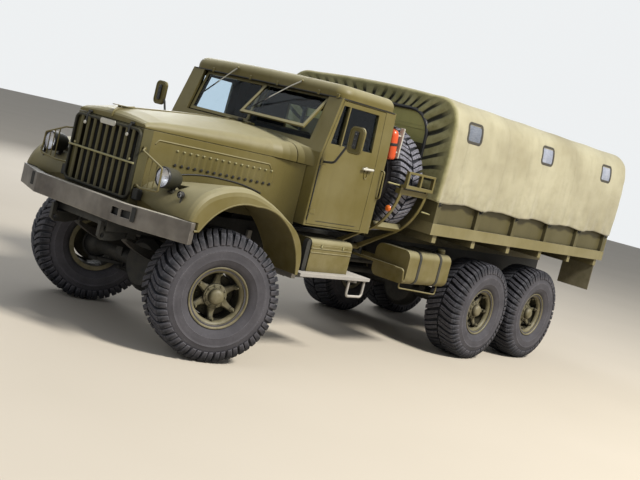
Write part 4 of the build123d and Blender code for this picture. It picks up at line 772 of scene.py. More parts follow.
tyre = {
    "lugs": 27,
    "lugTop": 0.6395,
    "lugFoot": 0.604,
    "rib": 0.046,
    "slot": 0.018,
    "layRadius": 0.62,  # where a lug's width is its own
    "shoulder": 0.22,
    "tuck": 0.006,
    # painted shade in the tread grooves
    "groove": (0.007, 0.008, 0.012),
    "wall": (0.034, 0.032, 0.038),
    "dust": (0.098, 0.093, 0.104),
    # painted shade colours: in the arches, then in the corners between lugs
    "shade": (0.006, 0.007, 0.010),
    "corner": (0.010, 0.012, 0.018),
}


def tyreCasing():
    # closed profile of (radius, along the axle): bead, bulge with two thin rings, shoulder, tread base
    half = [
        (0.268, 0.203), (0.300, 0.2045), (0.309, 0.207), (0.318, 0.219), (0.333, 0.232), (0.352, 0.243),
        (0.378, 0.2535), (0.384, 0.2575), (0.390, 0.2565), (0.415, 0.26), (0.440, 0.2605),
        (0.462, 0.259), (0.468, 0.2615), (0.4745, 0.2575), (0.500, 0.252), (0.530, 0.244),
        (0.558, 0.233), (0.582, 0.219), (0.597, 0.20), (0.606, 0.17), (0.610, 0.10),
    ]
    other = [(r, -y) for r, y in reversed(half)]
    return lathe(half + [(0.611, 0.0)] + other, 96, closed=True)


def tyreLugs():
    # each lug is two ribs that run out from near the middle at a slant and bend down over the shoulder;
    # a rib is a section carried along that line in polar coordinates: angle, radius, place along the axle
    t = tyre
    along = np.array([0.012, 0.060, 0.120, 0.176, 0.210, 0.2335, 0.2475, 0.256, 0.2590])
    radius = np.array([t["lugTop"], t["lugTop"], 0.638, 0.634, 0.628, 0.607, 0.580, 0.552, 0.528])
    foot = np.array([0.606, 0.606, 0.605, 0.600, 0.594, 0.578, 0.556, 0.534, 0.520])
    slant = np.array([0.0, 0.028, 0.066, 0.098, 0.112, 0.118, 0.120, 0.121, 0.121])
    width = np.array([0.95, 1.0, 1.0, 1.04, 1.1, 1.12, 1.1, 1.02, 0.85]) * t["rib"]
    across = np.array([-0.60, -0.5, -0.42, 0.42, 0.5, 0.60])
    lift = np.array([0.0, 0.86, 1.0, 1.0, 0.86, 0.0])
    inward = np.array([-0.012, -0.008, 0, 0, 0, 0, 0, 0, 0])  # of the second rib's inner end
    start = np.arange(len(across))
    end = start + (len(along) - 1) * len(across)
    pitch = 2 * np.pi / t["lugs"]
    tuck = np.where(along > t["shoulder"], t["tuck"], 0.0)[:, None]
    shapes = []
    for rib in (-1, 1):
        middle = slant / radius * t["layRadius"] + rib * (t["rib"] + t["slot"]) / 2 / t["layRadius"]
        if rib > 0:
            middle = middle + inward
        angle = middle[:, None] + across[None] * width[:, None] / t["layRadius"]
        r = foot[:, None] + (radius - foot)[:, None] * lift[None]
        y = np.repeat(along[:, None], len(across), 1) - (1 - lift[None]) * tuck
        one = np.stack([r * np.cos(angle), r * np.sin(angle), y], -1)
        for turn in range(t["lugs"]):
            for sign in (1, -1):
                a = turn * pitch + (pitch / 2 if sign < 0 else 0)
                spin = np.array([(np.cos(a), -np.sin(a), 0), (np.sin(a), np.cos(a), 0), (0, 0, sign)])
                points, faces = gridShape(one @ spin.T, turned=sign > 0)
                shapes.append((points, faces + [start[::sign][None], end[::-sign][None]]))
    return gather(shapes)


def tyreFinish(name, lugs, scuffed):
    # dusty brown-grey sidewall, painted shade in the tread grooves, the arches and the corners, pale lug
    # edges that are rubbed and carry a painted highlight, by distance from the axle in uv
    t = tyre
    material, tree, shader = newFinish(name, **{"Specular IOR Level": 0.35})
    edges = groupIn(tree, edgeGroup, Radius=0.005)
    place = nodeIn(tree, "TexCoord").outputs["Object"]
    away = flatIn(tree)["X"]
    broad = noiseIn(tree, place, 5.0, 4.0)
    fine = noiseIn(tree, place, 42.0, 4.0, 0.7)
    mud = timesIn(tree, rangeIn(tree, broad, 0.3, 0.7, 0.35, 1.0), rangeIn(tree, fine, 0.25, 0.75, 0.55, 1.0))
    wall = mixIn(tree, mud, shadeOf(t["wall"]), shadeOf(t["dust"]))
    tread = mixIn(tree, rangeIn(tree, fine, 0.4, 0.7), shadeOf(lugs, 0.32), shadeOf(lugs))
    # painted shade in the grooves between the lugs
    deep = rangeIn(tree, away, t["lugTop"] - 0.008, t["lugFoot"] + 0.006)
    tread = mixIn(tree, deep, tread, shadeOf(t["groove"]))
    colour = mixIn(tree, rangeIn(tree, away, 0.60, 0.53), tread, wall)
    # pale lug edges: rubbed rubber with a painted highlight
    scuffAndGlint = timesIn(tree, edges["Edge"], rangeIn(tree, broad, 0.3, 0.6, 0.2, 0.85))
    colour = mixIn(tree, scuffAndGlint, colour, shadeOf(scuffed))
    # painted shade where the tyre stands in its arch
    tyreShade = rangeIn(tree, shutIn(tree, 0.9, 6), 0.50, 0.22, 0.0, 0.9)
    colour = mixIn(tree, tyreShade, colour, shadeOf(t["shade"]))
    # painted shade in the corners between lugs
    colour = mixIn(tree, timesIn(tree, edges["Corner"], 0.7), colour, shadeOf(t["corner"]))
    rough = rangeIn(tree, mud, 0.0, 1.0, 0.62, 0.9)
    finishSurface(tree, shader, colour, rough, fine, 0.0012, edges["Normal"])
    return material


finishes["tyreRubber"] = tyreFinish("tyreRubber", (0.088, 0.087, 0.106), (0.29, 0.28, 0.31))
# a lit copy of the tyre rubber: painted light on the spare's paler lugs and edges
finishes["spareRubber"] = tyreFinish("spareRubber", (0.275, 0.272, 0.325), (0.46, 0.45, 0.51))


hub = {
    "arms": 6,
    "armTurn": 0.02,
    "bolts": 10,
    "boltTurn": 0.3,
    "innerBolts": (0.1005, 0.129, 0.0085, 0.009),  # radius, height, size, head
    "outerBolts": (0.165, 0.0325, 0.010, 0.010),
    "stud": (0.224, 0, 0.143),
}


def rimShape():
    # inner flange, well, outer flange and the step that the clamps sit on
    return lathe([
        (0.256, -0.214), (0.300, -0.216), (0.3055, -0.211), (0.303, -0.204), (0.296, -0.203),
        (0.2665, -0.200), (0.266, 0.0), (0.2665, 0.200), (0.296, 0.2035), (0.3015, 0.2048),
        (0.305, 0.209), (0.3045, 0.214), (0.299, 0.2165), (0.29, 0.215), (0.284, 0.208), (0.279, 0.196),
        (0.27, 0.188), (0.256, 0.184), (0.242, 0.17), (0.236, 0.15), (0.2345, 0.14), (0.256, 0.13),
        (0.256, -0.1),
    ], 72, closed=True)


def hubCentre():
    # drum, bearing housing and domed cap
    drum = lathe([
        (0.0, -0.03), (0.206, -0.03), (0.2145, -0.024), (0.2145, 0.022), (0.206, 0.030), (0.130, 0.034),
        (0.105, 0.045), (0.100, 0.062),
    ], 48)
    housing = lathe([
        (0.100, 0.045), (0.112, 0.060), (0.121, 0.082), (0.123, 0.108), (0.118, 0.120), (0.104, 0.124),
        (0.101, 0.130), (0.094, 0.1325), (0.079, 0.1335),
    ], 48)
    cap = lathe([
        (0.079, 0.133), (0.0785, 0.150), (0.0755, 0.166), (0.068, 0.180), (0.055, 0.1905),
        (0.036, 0.196), (0.016, 0.1976), (0.0, 0.198),
    ], 40)
    return gather([drum, housing, cap])


def hubArm():
    # a tapering box section that bulges upward, from the housing to under its clamp, with a lip and a stud
    reach = np.array([0.085, 0.115, 0.150, 0.190, 0.225, 0.250])
    wide = np.array([0.052, 0.046, 0.034, 0.027, 0.025, 0.027])
    high = np.array([0.112, 0.108, 0.104, 0.108, 0.122, 0.130])
    low = np.array([0.050, 0.052, 0.056, 0.066, 0.082, 0.092])
    across = np.array([-1.0, -1.0, -0.62, 0.62, 1.0, 1.0])
    lift = np.array([0.0, 0.74, 1.0, 1.0, 0.74, 0.0])
    count = len(across)
    section = np.stack([
        np.repeat(reach[:, None], count, 1),
        wide[:, None] * across,
        low[:, None] + (high - low)[:, None] * lift,
    ], -1)
    points, faces = gridShape(section, ringColumns=True)
    start = np.arange(count)
    arm = points, faces + [(start + (len(reach) - 1) * count)[None], start[::-1][None]]
    clamp = block((0.208, -0.022, 0.126), (0.252, 0.022, 0.142), 0.005)
    lip = block((0.238, -0.019, 0.136), (0.262, 0.019, 0.156), 0.005)
    thread = lathe([(0.0085, 0.0), (0.0085, 0.030), (0.006, 0.034)], 10)
    stud = gather([thread, disc(0.006, 0.034, 10), bolt(0.0165, 0.015)])
    return gather([arm, clamp, lip, moved(stud, placedAt(hub["stud"]))])


def hubShape():
    # the whole wheel inside its tyre; z points out of it
    armTurns = 2 * math.pi * np.arange(hub["arms"]) / hub["arms"] + hub["armTurn"]
    arms = [Matrix.Rotation(turn, 4, "Z") for turn in armTurns]
    boltTurns = np.linspace(0, 2 * np.pi, hub["bolts"], endpoint=False) + hub["boltTurn"]
    rows = []
    for radius, height, size, head in (hub["innerBolts"], hub["outerBolts"]):
        ring = [(radius * math.cos(a), radius * math.sin(a), height) for a in boltTurns]
        rows.append(boltRow(ring, (0, 0, 1), size, head))
    valve = bar([(0.2545, 0.02, 0.06), (0.236, 0.03, 0.10), (0.238, 0.035, 0.165)], 0.0045, 0.02, 8)
    return gather([rimShape(), hubCentre(), rows[0], copies(hubArm(), arms), rows[1], valve])


def makeWheels():
    # tyre and hub are worked out once and moved to each wheel; the tyre's uv is (radius, height)
    rubber, hubParts = gather([tyreCasing(), tyreLugs()]), hubShape()
    points = rubber[0]
    uv = np.stack([np.hypot(points[:, 0], points[:, 1]), points[:, 2]], -1)
    for body, tyreNode, rimNode, place in wheelPlaces():
        finish = "spareRubber" if tyreNode == "spare_tyre" else "tyreRubber"
        piece(tyreNode + "_tread", moved(rubber, place), finish, 32, body, [tyreNode], uv)
        piece(rimNode + "_hub", moved(hubParts, place), "wheelPaint", 30, body, [rimNode])
    print("wheels made")


makeWheels()


# Canvas cover: one sheet from the rear edge along the bed, over the front hoop and down its gathered front

cover = {
    "front": 0.3928,
    "tail": -4.3225,
    "hem": 1.945,
    "rows": 150,
    "columns": 105,
    "firstPost": 0.3325,
    "postPitch": 0.9078,
    "firstHoop": 0.3128,
    "hoopPitch": 0.91106,
    "archHalf": 0.98,
    "archTop": 2.94,
    "archCorner": 0.30,
    "windows": (-0.025, -1.859, -3.670),
    "windowZ": 2.815,
    "windowHalf": (0.148, 0.106),
    "windowCorner": 0.045,
    "side": (1.3953, 2.42),  # y, and the height where the shoulder begins
    "shoulder": (
        (1.3948, 2.56), (1.385, 2.72), (1.3703, 2.86), (1.3103, 3.025), (1.1553, 3.133), (0.9, 3.1495),
        (0.6, 3.164), (0.3, 3.1722), (0.0, 3.175),
    ),
    "flatWide": 4.82,
    "thick": 0.005,
    "foldDepth": 0.055,
    "foldIn": 0.045,
    "bead": 0.006,
    "lip": 0.010,
    "rearFold": (0.004, 0.045),  # forward, inward
    "faceDeep": 0.03,
    "middleZ": 2.2,  # the cloth is pushed out and in as seen from here
    "foldRows": 7,
    "faceRows": 26,
    "panes": (17, 13),
    "strip": (0.034, 0.005, 0.0015),
    "stripPoints": 60,
    "roll": 0.022,
}

# how slack the cloth is: depths of its sag and its ripples, and heights between which they grow or die out
slack = {
    "sag": (0.004, 0.009),
    "sagFrom": 2.50,
    "sagOver": 0.35,
    "crown": (3.08, 0.06),
    "ripples": (0.011, 0.007),
    "ripplesTop": 2.46,
    "ripplesOver": 0.50,
    "waves": (0.0022, 0.0016, 0.001),
    "windowMargin": 0.03,
    "windowFade": 0.15,
    "hemRise": 0.030,
    "hemDrop": 0.012,
    "hemTop": 2.20,
    "hemOver": 0.26,
}

# the gathered front's folds: one wave for the points and for the shade in its valleys
pleats = {
    "turns": 60 * math.pi,
    "wander": 17.0,
    "wanderBy": 1.6,
    "lean": 4.0,
    "leanAcross": 31.0,
    "leanBy": 0.5,
    "run": (4.790, 5.158),  # along the flat sheet
}

cloth = {
    "pale": (0.48, 0.445, 0.305),
    "dark": (0.345, 0.310, 0.200),
    "olive": ((0.250, 0.235, 0.095), (0.480, 0.445, 0.235)),
    "valley": (0.012, 0.013, 0.008),
    "stainTop": 2.35,
    "stainFull": 1.95,
    "frontFrom": (4.72, 4.775),
    "seamShift": 0.21,
    "seamHalfPitch": 0.4655,
    "stitchAt": 0.0145,
    "stitches": 520.0,
    "threads": 2100.0,
    "weave": 0.00035,
    "bumps": (0.0009, 0.006, 0.0016),  # of the fine noise, the middle noise and the seams
}
windowTint = {
    "colour": ((0.250, 0.275, 0.350), (0.40, 0.42, 0.49)),
    "foremost": (0.055, 0.070, 0.090),
}


def makeCanvas():
    # sun-bleached woven cloth: mottled, greener in front and paler there as painted light, dusty and stained
    # at the hem, with stitched seams, painted shade in the front's pleat valleys and where the cloth is
    # closed in
    c, p, pale, dark = cloth, pleats, shadeOf(cloth["pale"]), shadeOf(cloth["dark"])
    values = {"Roughness": 0.92, "Specular IOR Level": 0.2, "Sheen Weight": 0.25, "Sheen Roughness": 0.5}
    material, tree, shader = newFinish("canvas", **values)
    place = nodeIn(tree, "TexCoord").outputs["Object"]
    flat = flatIn(tree)
    middle = noiseIn(tree, place, 6.5, 5.0, 0.65)
    fine = noiseIn(tree, place, 60.0, 3.0, 0.7)
    streak = rangeIn(tree, noiseIn(tree, stretchedIn(tree, place, (9, 9, 0.9)), 1.0, 4.0), 0.5, 0.72)
    colour = mixIn(tree, rangeIn(tree, noiseIn(tree, place, 1.3, 4.0, 0.6), 0.35, 0.65), dark, pale)
    colour = mixIn(tree, timesIn(tree, rangeIn(tree, middle, 0.5, 0.75), 0.30), colour, dark)
    low = rangeIn(tree, partsIn(tree, place)["Z"], c["stainTop"], c["stainFull"])
    stain = plusIn(tree, timesIn(tree, low, 0.55), timesIn(tree, streak, 0.30))
    stain = timesIn(tree, stain, rangeIn(tree, middle, 0.3, 0.7), True)
    colour = mixIn(tree, stain, colour, shadeOf(c["dark"], 0.62))
    # the front is olive, and paler there as painted light on a face that gets little light
    olive = mixIn(tree, rangeIn(tree, middle, 0.3, 0.7), *(shadeOf(tone) for tone in c["olive"]))
    colour = mixIn(tree, rangeIn(tree, flat["Y"], *c["frontFrom"]), colour, olive)
    # the gathered front's folds get painted shade in their valleys
    across = mathIn(tree, "DIVIDE", flat["X"], cover["flatWide"])
    down = rangeIn(tree, flat["Y"], *p["run"])
    wander = timesIn(tree, mathIn(tree, "SINE", timesIn(tree, across, p["wander"])), p["wanderBy"])
    lean = plusIn(tree, timesIn(tree, down, p["lean"]), timesIn(tree, across, p["leanAcross"]))
    lean = timesIn(tree, mathIn(tree, "SINE", lean), p["leanBy"])
    phase = plusIn(tree, plusIn(tree, timesIn(tree, across, p["turns"]), wander), lean)
    valley = rangeIn(tree, mathIn(tree, "SINE", phase), -0.30, -0.66)
    deeper = rangeIn(tree, down, 0.02, 0.45, 0.0, 0.97)
    colour = mixIn(tree, timesIn(tree, valley, deeper), colour, shadeOf(c["valley"]))
    # seams cross the cover at an even pitch: a doubled strip with a stitched line at each side
    seam = mathIn(tree, "PINGPONG", plusIn(tree, flat["Y"], c["seamShift"]), c["seamHalfPitch"])
    strip = rangeIn(tree, seam, 0.020, 0.016)
    line = mathIn(tree, "ABSOLUTE", mathIn(tree, "SUBTRACT", seam, c["stitchAt"]))
    dash = mathIn(tree, "SINE", timesIn(tree, flat["X"], c["stitches"]))
    stitch = timesIn(tree, rangeIn(tree, line, 0.0022, 0.0008), rangeIn(tree, dash, -0.2, 0.2))
    colour = mixIn(tree, timesIn(tree, strip, 0.10), colour, dark)
    colour = mixIn(tree, timesIn(tree, stitch, 0.6), colour, shadeOf(c["dark"], 0.35))
    # painted shade where the cloth is closed in by its own folds
    shut = timesIn(tree, rangeIn(tree, shutIn(tree, 0.10, ownOnly=True), 0.9, 0.4), 0.45)
    colour = mixIn(tree, shut, colour, shadeOf(c["dark"], 0.3))
    threads = [mathIn(tree, "SINE", timesIn(tree, flat[axis], c["threads"])) for axis in ("X", "Y")]
    height = timesIn(tree, timesIn(tree, *threads), c["weave"])
    for bumps, share in zip((fine, middle, strip), c["bumps"]):
        height = plusIn(tree, height, timesIn(tree, bumps, share))
    finishSurface(tree, shader, colour, None, height)
    return material


def makeWindowPanel():
    # clear soft plastic that has clouded and scratched; the foremost pane is darker than the other two
    material, tree, shader = newFinish("windowPanel", **{"IOR": 1.45, "Specular IOR Level": 0.6})
    place = nodeIn(tree, "TexCoord").outputs["Object"]
    cloud = noiseIn(tree, place, 7.0, 4.0, 0.6)
    scratch = noiseIn(tree, stretchedIn(tree, place, (1, 1, 14)), 20.0, 3.0)
    colour = mixIn(tree, rangeIn(tree, cloud, 0.3, 0.7), *(shadeOf(tone) for tone in windowTint["colour"]))
    front = rangeIn(tree, partsIn(tree, place)["X"], -0.9, -0.6, 0.0, 0.62)
    colour = mixIn(tree, front, colour, shadeOf(windowTint["foremost"]))
    finishSurface(tree, shader, colour, rangeIn(tree, scratch, 0.35, 0.7, 0.16, 0.42), cloud, 0.012)
    return material


finishes["canvas"] = makeCanvas()
finishes["windowPanel"] = makeWindowPanel()


def coverSection():
    # (y, z) from the driver's side hem over the crown to the other hem
    c = cover
    straight = [(c["side"][0], c["hem"]), c["side"]]
    half = evenly(np.concatenate([straight, curveThrough(c["shoulder"])]), c["columns"])
    return np.concatenate([half, half[-2::-1] * [-1, 1]])


def midway(x, first, pitch):
    # 0 at each stop of a row and 1 midway between two
    return 1 - np.abs((((x - first) / pitch) % 1) * 2 - 1)


def clothPush(x, z, sign):
    # how far the cloth stands out of its taut section; sign is the side of the truck
    c, s = cover, slack
    between = np.sin(midway(x, c["firstHoop"], c["hoopPitch"]) * np.pi / 2) ** 2
    above = np.clip((z - s["sagFrom"]) / s["sagOver"], 0, 1)
    crown = np.clip((z - s["crown"][0]) / s["crown"][1], 0, 1)
    sag = between * (s["sag"][0] + s["sag"][1] * above * (1 - 0.6 * crown))
    # slack ripples run up from the hem and die out; a faint unevenness lies over the whole sheet
    low = np.clip((s["ripplesTop"] - z) / s["ripplesOver"], 0, 1) ** 1.6
    broad, narrow = s["ripples"]
    hang = low * (broad * np.sin(x * 11.0 + sign) + narrow * np.sin(x * 23.0 + 2.0 * sign + z * 4.0))
    waves = np.sin(x * 5.1 + z * 3.3 + sign), np.sin(x * 13.7 - z * 9.1), np.sin(z * 31 + x * 2.3)
    wave = sum(size * one for size, one in zip(s["waves"], waves))
    push = hang + wave * np.clip((3.14 - z) * 5, 0.25, 1) - sag
    # and it lies flat round its windows
    wide, high = (half + s["windowMargin"] for half in c["windowHalf"])
    for at in c["windows"]:
        away = np.maximum(np.abs(x - at) - wide, np.abs(z - c["windowZ"]) - high)
        push = push * np.clip(away / s["windowFade"], 0, 1)
    return push


def bedCloth(section, outward):
    # the cloth over the bed, hung a little slack
    # its hem is held at each post's hook and rises between the posts
    c, s = cover, slack
    x = np.linspace(c["tail"], c["front"] - c["foldDepth"], c["rows"])[:, None]
    z = section[None, :, 1]
    push = clothPush(x, z, np.sign(section[None, :, 0]))
    scallop = np.sin(midway(x, c["firstPost"], c["postPitch"]) * np.pi / 2) ** 1.5
    rise = np.clip((s["hemTop"] - z) / s["hemOver"], 0, 1) * (s["hemRise"] * scallop - s["hemDrop"])
    y = section[None, :, 0] + outward[None, :, 0] * push
    return np.stack([x + 0 * z, y, z + outward[None, :, 1] * push + rise], -1)


def hoopFold(edge, outward):
    # the sheet turned in round the front hoop, with a bead along the fold
    c = cover
    turn = (np.linspace(0.15, 1, c["foldRows"]) * np.pi / 2)[:, None]
    move = c["foldIn"] * (1 - np.cos(turn)) - c["bead"] * np.sin(2 * turn)
    return np.stack([
        c["front"] - c["foldDepth"] + c["foldDepth"] * np.sin(turn) + 0 * edge[:, 1],
        edge[:, 1] - outward[:, 0] * move,
        edge[:, 2] - outward[:, 1] * move,
    ], -1)


def gatheredFace(edge, place):
    # the face in front is gathered towards the arch: its pleats deepen as they near it
    c, p = cover, pleats
    half, top, r = c["archHalf"], c["archTop"], c["archCorner"]
    corner = cornerArc(half, top, r, 24)
    arch = evenly([(half, c["hem"] + 0.02)] + corner + [(0.0, top)], c["columns"])
    arch = np.concatenate([arch, arch[-2::-1] * [-1, 1]])
    s = np.linspace(1 / c["faceRows"], 1, c["faceRows"])[:, None]
    ring = edge[None] * (1 - s[..., None]) + arch[None] * s[..., None]
    lean = p["leanBy"] * np.sin(s * p["lean"] + place * p["leanAcross"])
    pleat = np.sin(place * p["turns"] + p["wanderBy"] * np.sin(place * p["wander"]) + lean)
    pleat = (0.5 + 0.5 * pleat) ** 0.55 * 2 - 1
    size = (0.75 + 0.25 * np.sin(place * 29 + 1)) * np.interp(ring[..., 1], [2.50, 2.75], [0.009, 0.026])
    deep = s ** 0.9 * pleat * size + 0.006 * s * np.sin(place * 23 + 0.8)
    floor = np.interp(ring[..., 1], [2.57, 2.66], [c["front"] - 0.016, c["front"] - 0.052])
    front = np.clip(c["front"] - 0.010 * np.sin(s * np.pi) - 0.014 * s + deep, floor, c["front"] + 0.008)
    return np.concatenate([front[..., None], ring], -1)


def coverPoints():
    # rows of points from the rear edge, folded in over its hoop, to the gathered face's inner edge
    c = cover
    section = coverSection()
    place = np.linspace(0, 1, len(section))
    outward = section - np.array([0.0, c["middleZ"]])
    outward /= np.linalg.norm(outward, axis=1, keepdims=True)
    body = bedCloth(section, outward)
    fold = hoopFold(body[-1], outward)
    face = gatheredFace(fold[-1, :, 1:], place)
    back = face[-1:] - [c["faceDeep"], 0, 0]
    lip = body[:1].copy()
    lip[..., 1:] -= outward * c["lip"]
    rear = body[:1].copy()
    rear[..., 1:] -= outward * c["rearFold"][1]
    rear[..., 0] += c["rearFold"][0]
    return np.concatenate([rear, lip, body, fold, face, back])


def sideAt(z):
    # how far out the cover's side stands at a height
    half = coverSection()[:cover["columns"]]
    return np.interp(z, half[:, 1], half[:, 0])


def clothSheet(points):
    # the sheet with its own place in metres as uv, and with holes for the windows
    c = cover
    rows, columns = points.shape[:2]
    across = np.linspace(0, c["flatWide"], columns)
    step = np.linalg.norm(np.diff(points[:, columns // 4], axis=0), axis=1)
    along = np.concatenate([[0], np.cumsum(step)])
    uv = np.stack(np.broadcast_arrays(across[None], along[:, None]), -1).reshape(-1, 2)
    flat = points.reshape(-1, 3)
    faces = gridFaces(rows, columns)
    middle = flat[faces].mean(1)
    keep = np.ones(len(faces), bool)
    wide, high = (half - 0.006 for half in c["windowHalf"])
    for x in c["windows"]:
        inside = (np.abs(middle[:, 0] - x) < wide) & (np.abs(middle[:, 2] - c["windowZ"]) < high)
        keep &= ~(inside & (np.abs(middle[:, 1]) > 1.3))
    sheet = piece("canvas_cover", (flat, [faces[keep]]), "canvas", 60, replaces=["canopy"], uv=uv)
    thick = sheet.modifiers.new("thick", "SOLIDIFY")
    thick.thickness = c["thick"]
    thick.offset = -1
    return sheet


def windowShapes():
    # a pane behind a stitched strip, for each window of the driver's side
    c = cover
    wide, high = c["windowHalf"]
    ring = roundedRing(wide + 0.004, high + 0.004, c["windowCorner"])
    ring = evenly(np.concatenate([ring, ring[:1]]), c["stripPoints"] + 1)[:-1]
    u, v = np.meshgrid(*(np.linspace(-1, 1, count) for count in c["panes"]))
    z = c["windowZ"] + v * high
    ringZ = c["windowZ"] + ring[:, 1]
    panes, strips = [], []
    for x in c["windows"]:
        path = np.stack([x + ring[:, 0], sideAt(ringZ) + 0.001, ringZ], -1)
        strips.append(carried(boxOutline(*c["strip"]), path, (0, 1, 0), ringPath=True))
        bulge = 0.006 * np.cos(u * np.pi / 2) * np.cos(v * np.pi / 2) + 0.0012 * np.sin(u * 7 + v * 4 + x)
        panes.append(gridShape(np.stack([x + u * wide, sideAt(z) - 0.004 + bulge, z], -1)))
    return both(gather(panes)), both(gather(strips))


def makeCover():
    # the sheet, a round roll carried along its inner front edge, panes, and strips round them
    c = cover
    points = coverPoints()
    sheet = clothSheet(points)
    paneShape, stripShape = windowShapes()
    edge = curveThrough(points[-2, 2:-2:3], 3)
    edge[:, 0] = c["front"] - 0.012
    rollShape = carried(roundOutline(c["roll"], 12), edge, (1, 0, 0.001))
    roll = piece("canvas_roll", rollShape, "blackPlastic", 60)
    panes = piece("window_panes", paneShape, "windowPanel", 60, replaces=["canopy_windows"])
    strips = piece("window_strips", stripShape, "coverTrim", 40)
    print("canvas made")


makeCover()


# Nose: guard bars, core, badge plate, latches, lamps

nose = {
    "guardX": frontAxle + 0.883,
    "half": 0.503,
    "low": 1.350,
    "high": 2.022,
    "rimIn": 0.012,
    "corner": 0.055,
    "rim": (0.026, 0.034, 0.006),
    "slats": 11,
    "slat": (0.040, 0.032, 0.012),
    "railZ": 1.698,
    "railHalf": 0.513,
    "railButtons": (-0.419, 0.45),
    "badge": (0.010, 2.004, 0.118, 0.026),
    "latchY": (-0.325, 0.34),
    "latchZ": 1.942,
    "strap": (0.026, 0.005, 0.001),
    # from the guard
    "strapPath": ((0.019, 1.925), (0.019, 2.030), (0.004, 2.050), (-0.020, 2.052)),
    "catch": ((-0.028, -0.020, 2.045), (0.006, 0.020, 2.066)),
    # low and high corner, from the front axle
    "sideLatch": ((0.800, 0.537, 1.372), (0.862, 0.610, 1.476)),
    "bumperSlot": ((1.020, 0.480, 1.195), (1.025, 0.840, 1.330)),
}
core = {
    "front": 0.800,
    "back": 0.706,
    "half": 0.446,
    "low": 1.352,
    "high": 1.988,
    "ridge": 0.012,
    "depth": 0.0035,
}
fin = {
    "outline": (
        (0.62, -0.018), (0.80, -0.026), (0.875, -0.014), (0.885, 0), (0.875, 0.014), (0.80, 0.026),
        (0.62, 0.018),
    ),
    "low": 2.178,
    "high": 2.186,
    "post": ((0.785, -0.009, 2.130), (0.815, 0.009, 2.180)),
    "bead": ((0.62, 0, 2.189), (0.80, 0, 2.158), (0.858, 0, 2.118), (0.862, 0, 2.062)),
    "beadRadius": 0.013,
}


def makeGrille():
    # box outlines carried up the slats and round the rim; bare badge, turned knobs, rail with buttons
    n = nose
    x, half = n["guardX"], n["half"]
    low, high = n["low"] + n["rimIn"], n["high"] - n["rimIn"]
    middle, tall = (n["low"] + n["high"]) / 2, (n["high"] - n["low"]) / 2 - n["rimIn"]
    rimPath = upright(roundedRing(half, tall, n["corner"]), x, 0, middle)
    rim = carried(boxOutline(*n["rim"]), rimPath, (1, 0, 0), ringPath=True)
    slat = carried(boxOutline(*n["slat"]), [(x, 0, low), (x, 0, high)], (1, 0, 0))
    slats = copies(slat, [Matrix.Translation((0, y, 0)) for y in np.linspace(-half, half, n["slats"])[1:-1]])
    piece("grille_bars", slats, "grillePaint", 40, replaces=["grille"])
    piece("grille_rim", rim, "lampShell", 30)
    y, z, wide, high = n["badge"]
    badge = plate(roundedRing(wide, high, 0.024) + [y, z], 0, x + 0.016, x + 0.022)
    inner = plate(roundedRing(wide - 0.012, high - 0.009, 0.015) + [y, z], 0, x + 0.018, x + 0.0245)
    knob = [(0.008, 0.0), (0.008, 0.008), (0.016, 0.011), (0.018, 0.019), (0.014, 0.026), (0.0, 0.028)]
    knobs = [latheAt(knob, 20, (x + 0.012, y, n["latchZ"]), (1, 0, 0), (0, 0, 1)) for y in n["latchY"]]
    piece("grille_bright", gather([badge, inner] + knobs), "paleSteel", 34)
    railEnds = [(x + 0.020, sign * n["railHalf"], n["railZ"]) for sign in (-1, 1)]
    rail = carried(roundOutline(0.010, 10), railEnds)
    spots = [placedAt((x + 0.026, y, n["railZ"] + 0.03), (1, 0, 0), (0, 0, 1)) for y in n["railButtons"]]
    buttons = copies(dome(0.013, 0.008), spots)
    piece("grille_bar", gather([rail, buttons]), "paleOlive", 34)


def makeNoseDark():
    # near-black plates as painted shade in the bumper's slots; strap latches over the grille's top and latch
    # boxes beside it
    n = nose
    x = n["guardX"]
    piece("bumper_dark", both(axleBlock(*n["bumperSlot"], 0.001)), "coreMetal", 30)
    straps = []
    for y in n["latchY"]:
        path = softPath([(x + dx, y, z) for dx, z in n["strapPath"]], 0.02)
        straps.append(carried(boxOutline(*n["strap"]), path, (1, 0, 0.01)))
    catches = blocksAt([(x, y, 0) for y in n["latchY"]], *n["catch"])
    boxes = both(axleBlock(*n["sideLatch"], 0.006))
    piece("nose_latches", gather(straps + catches + [boxes]), "chassisPaint", 30)


def makeCore():
    # upright tubes: one ridge after another across the radiator
    c = core
    points = round(2 * c["half"] / c["ridge"] * 6) + 1
    y = np.linspace(-c["half"], c["half"], points)
    front = np.stack([c["front"] + c["depth"] * np.sin(y * 2 * np.pi / c["ridge"]), y], -1)
    outline = np.concatenate([front, [(c["back"], c["half"]), (c["back"], -c["half"])]]) + [frontAxle, 0]
    shape = plate(outline, 2, c["low"], c["high"])
    piece("radiator_core", shape, "coreMetal", 50, replaces=["radiator"])


def makeFin():
    # flat fin and round bead on the bonnet's ridge
    f = fin
    blade = plate(np.array(f["outline"]) + [frontAxle, 0], 2, f["low"], f["high"])
    bead = carried(roundOutline(f["beadRadius"], 12), softPath(fromAxle(f["bead"]), 0.05, 8), (0, 1, 0))
    shape = gather([blade, axleBlock(*f["post"], 0.003), bead])
    piece("bonnet_fin", shape, "bodyPaint", 40, "bonnet_lid")


def makeNose():
    makeGrille()
    makeNoseDark()
    makeCore()
    makeFin()
    print("nose made")


# from the front axle
headlamp = {
    "face": (0.850, 0.900, 1.655),
    "stem": (0.700, 0.900),
    "stemZ": (1.462, 1.600),
    "footZ": 1.528,
    "marker": (0.770, 1.100, 1.545),
    "stalkZ": (-0.075, -0.025),
}


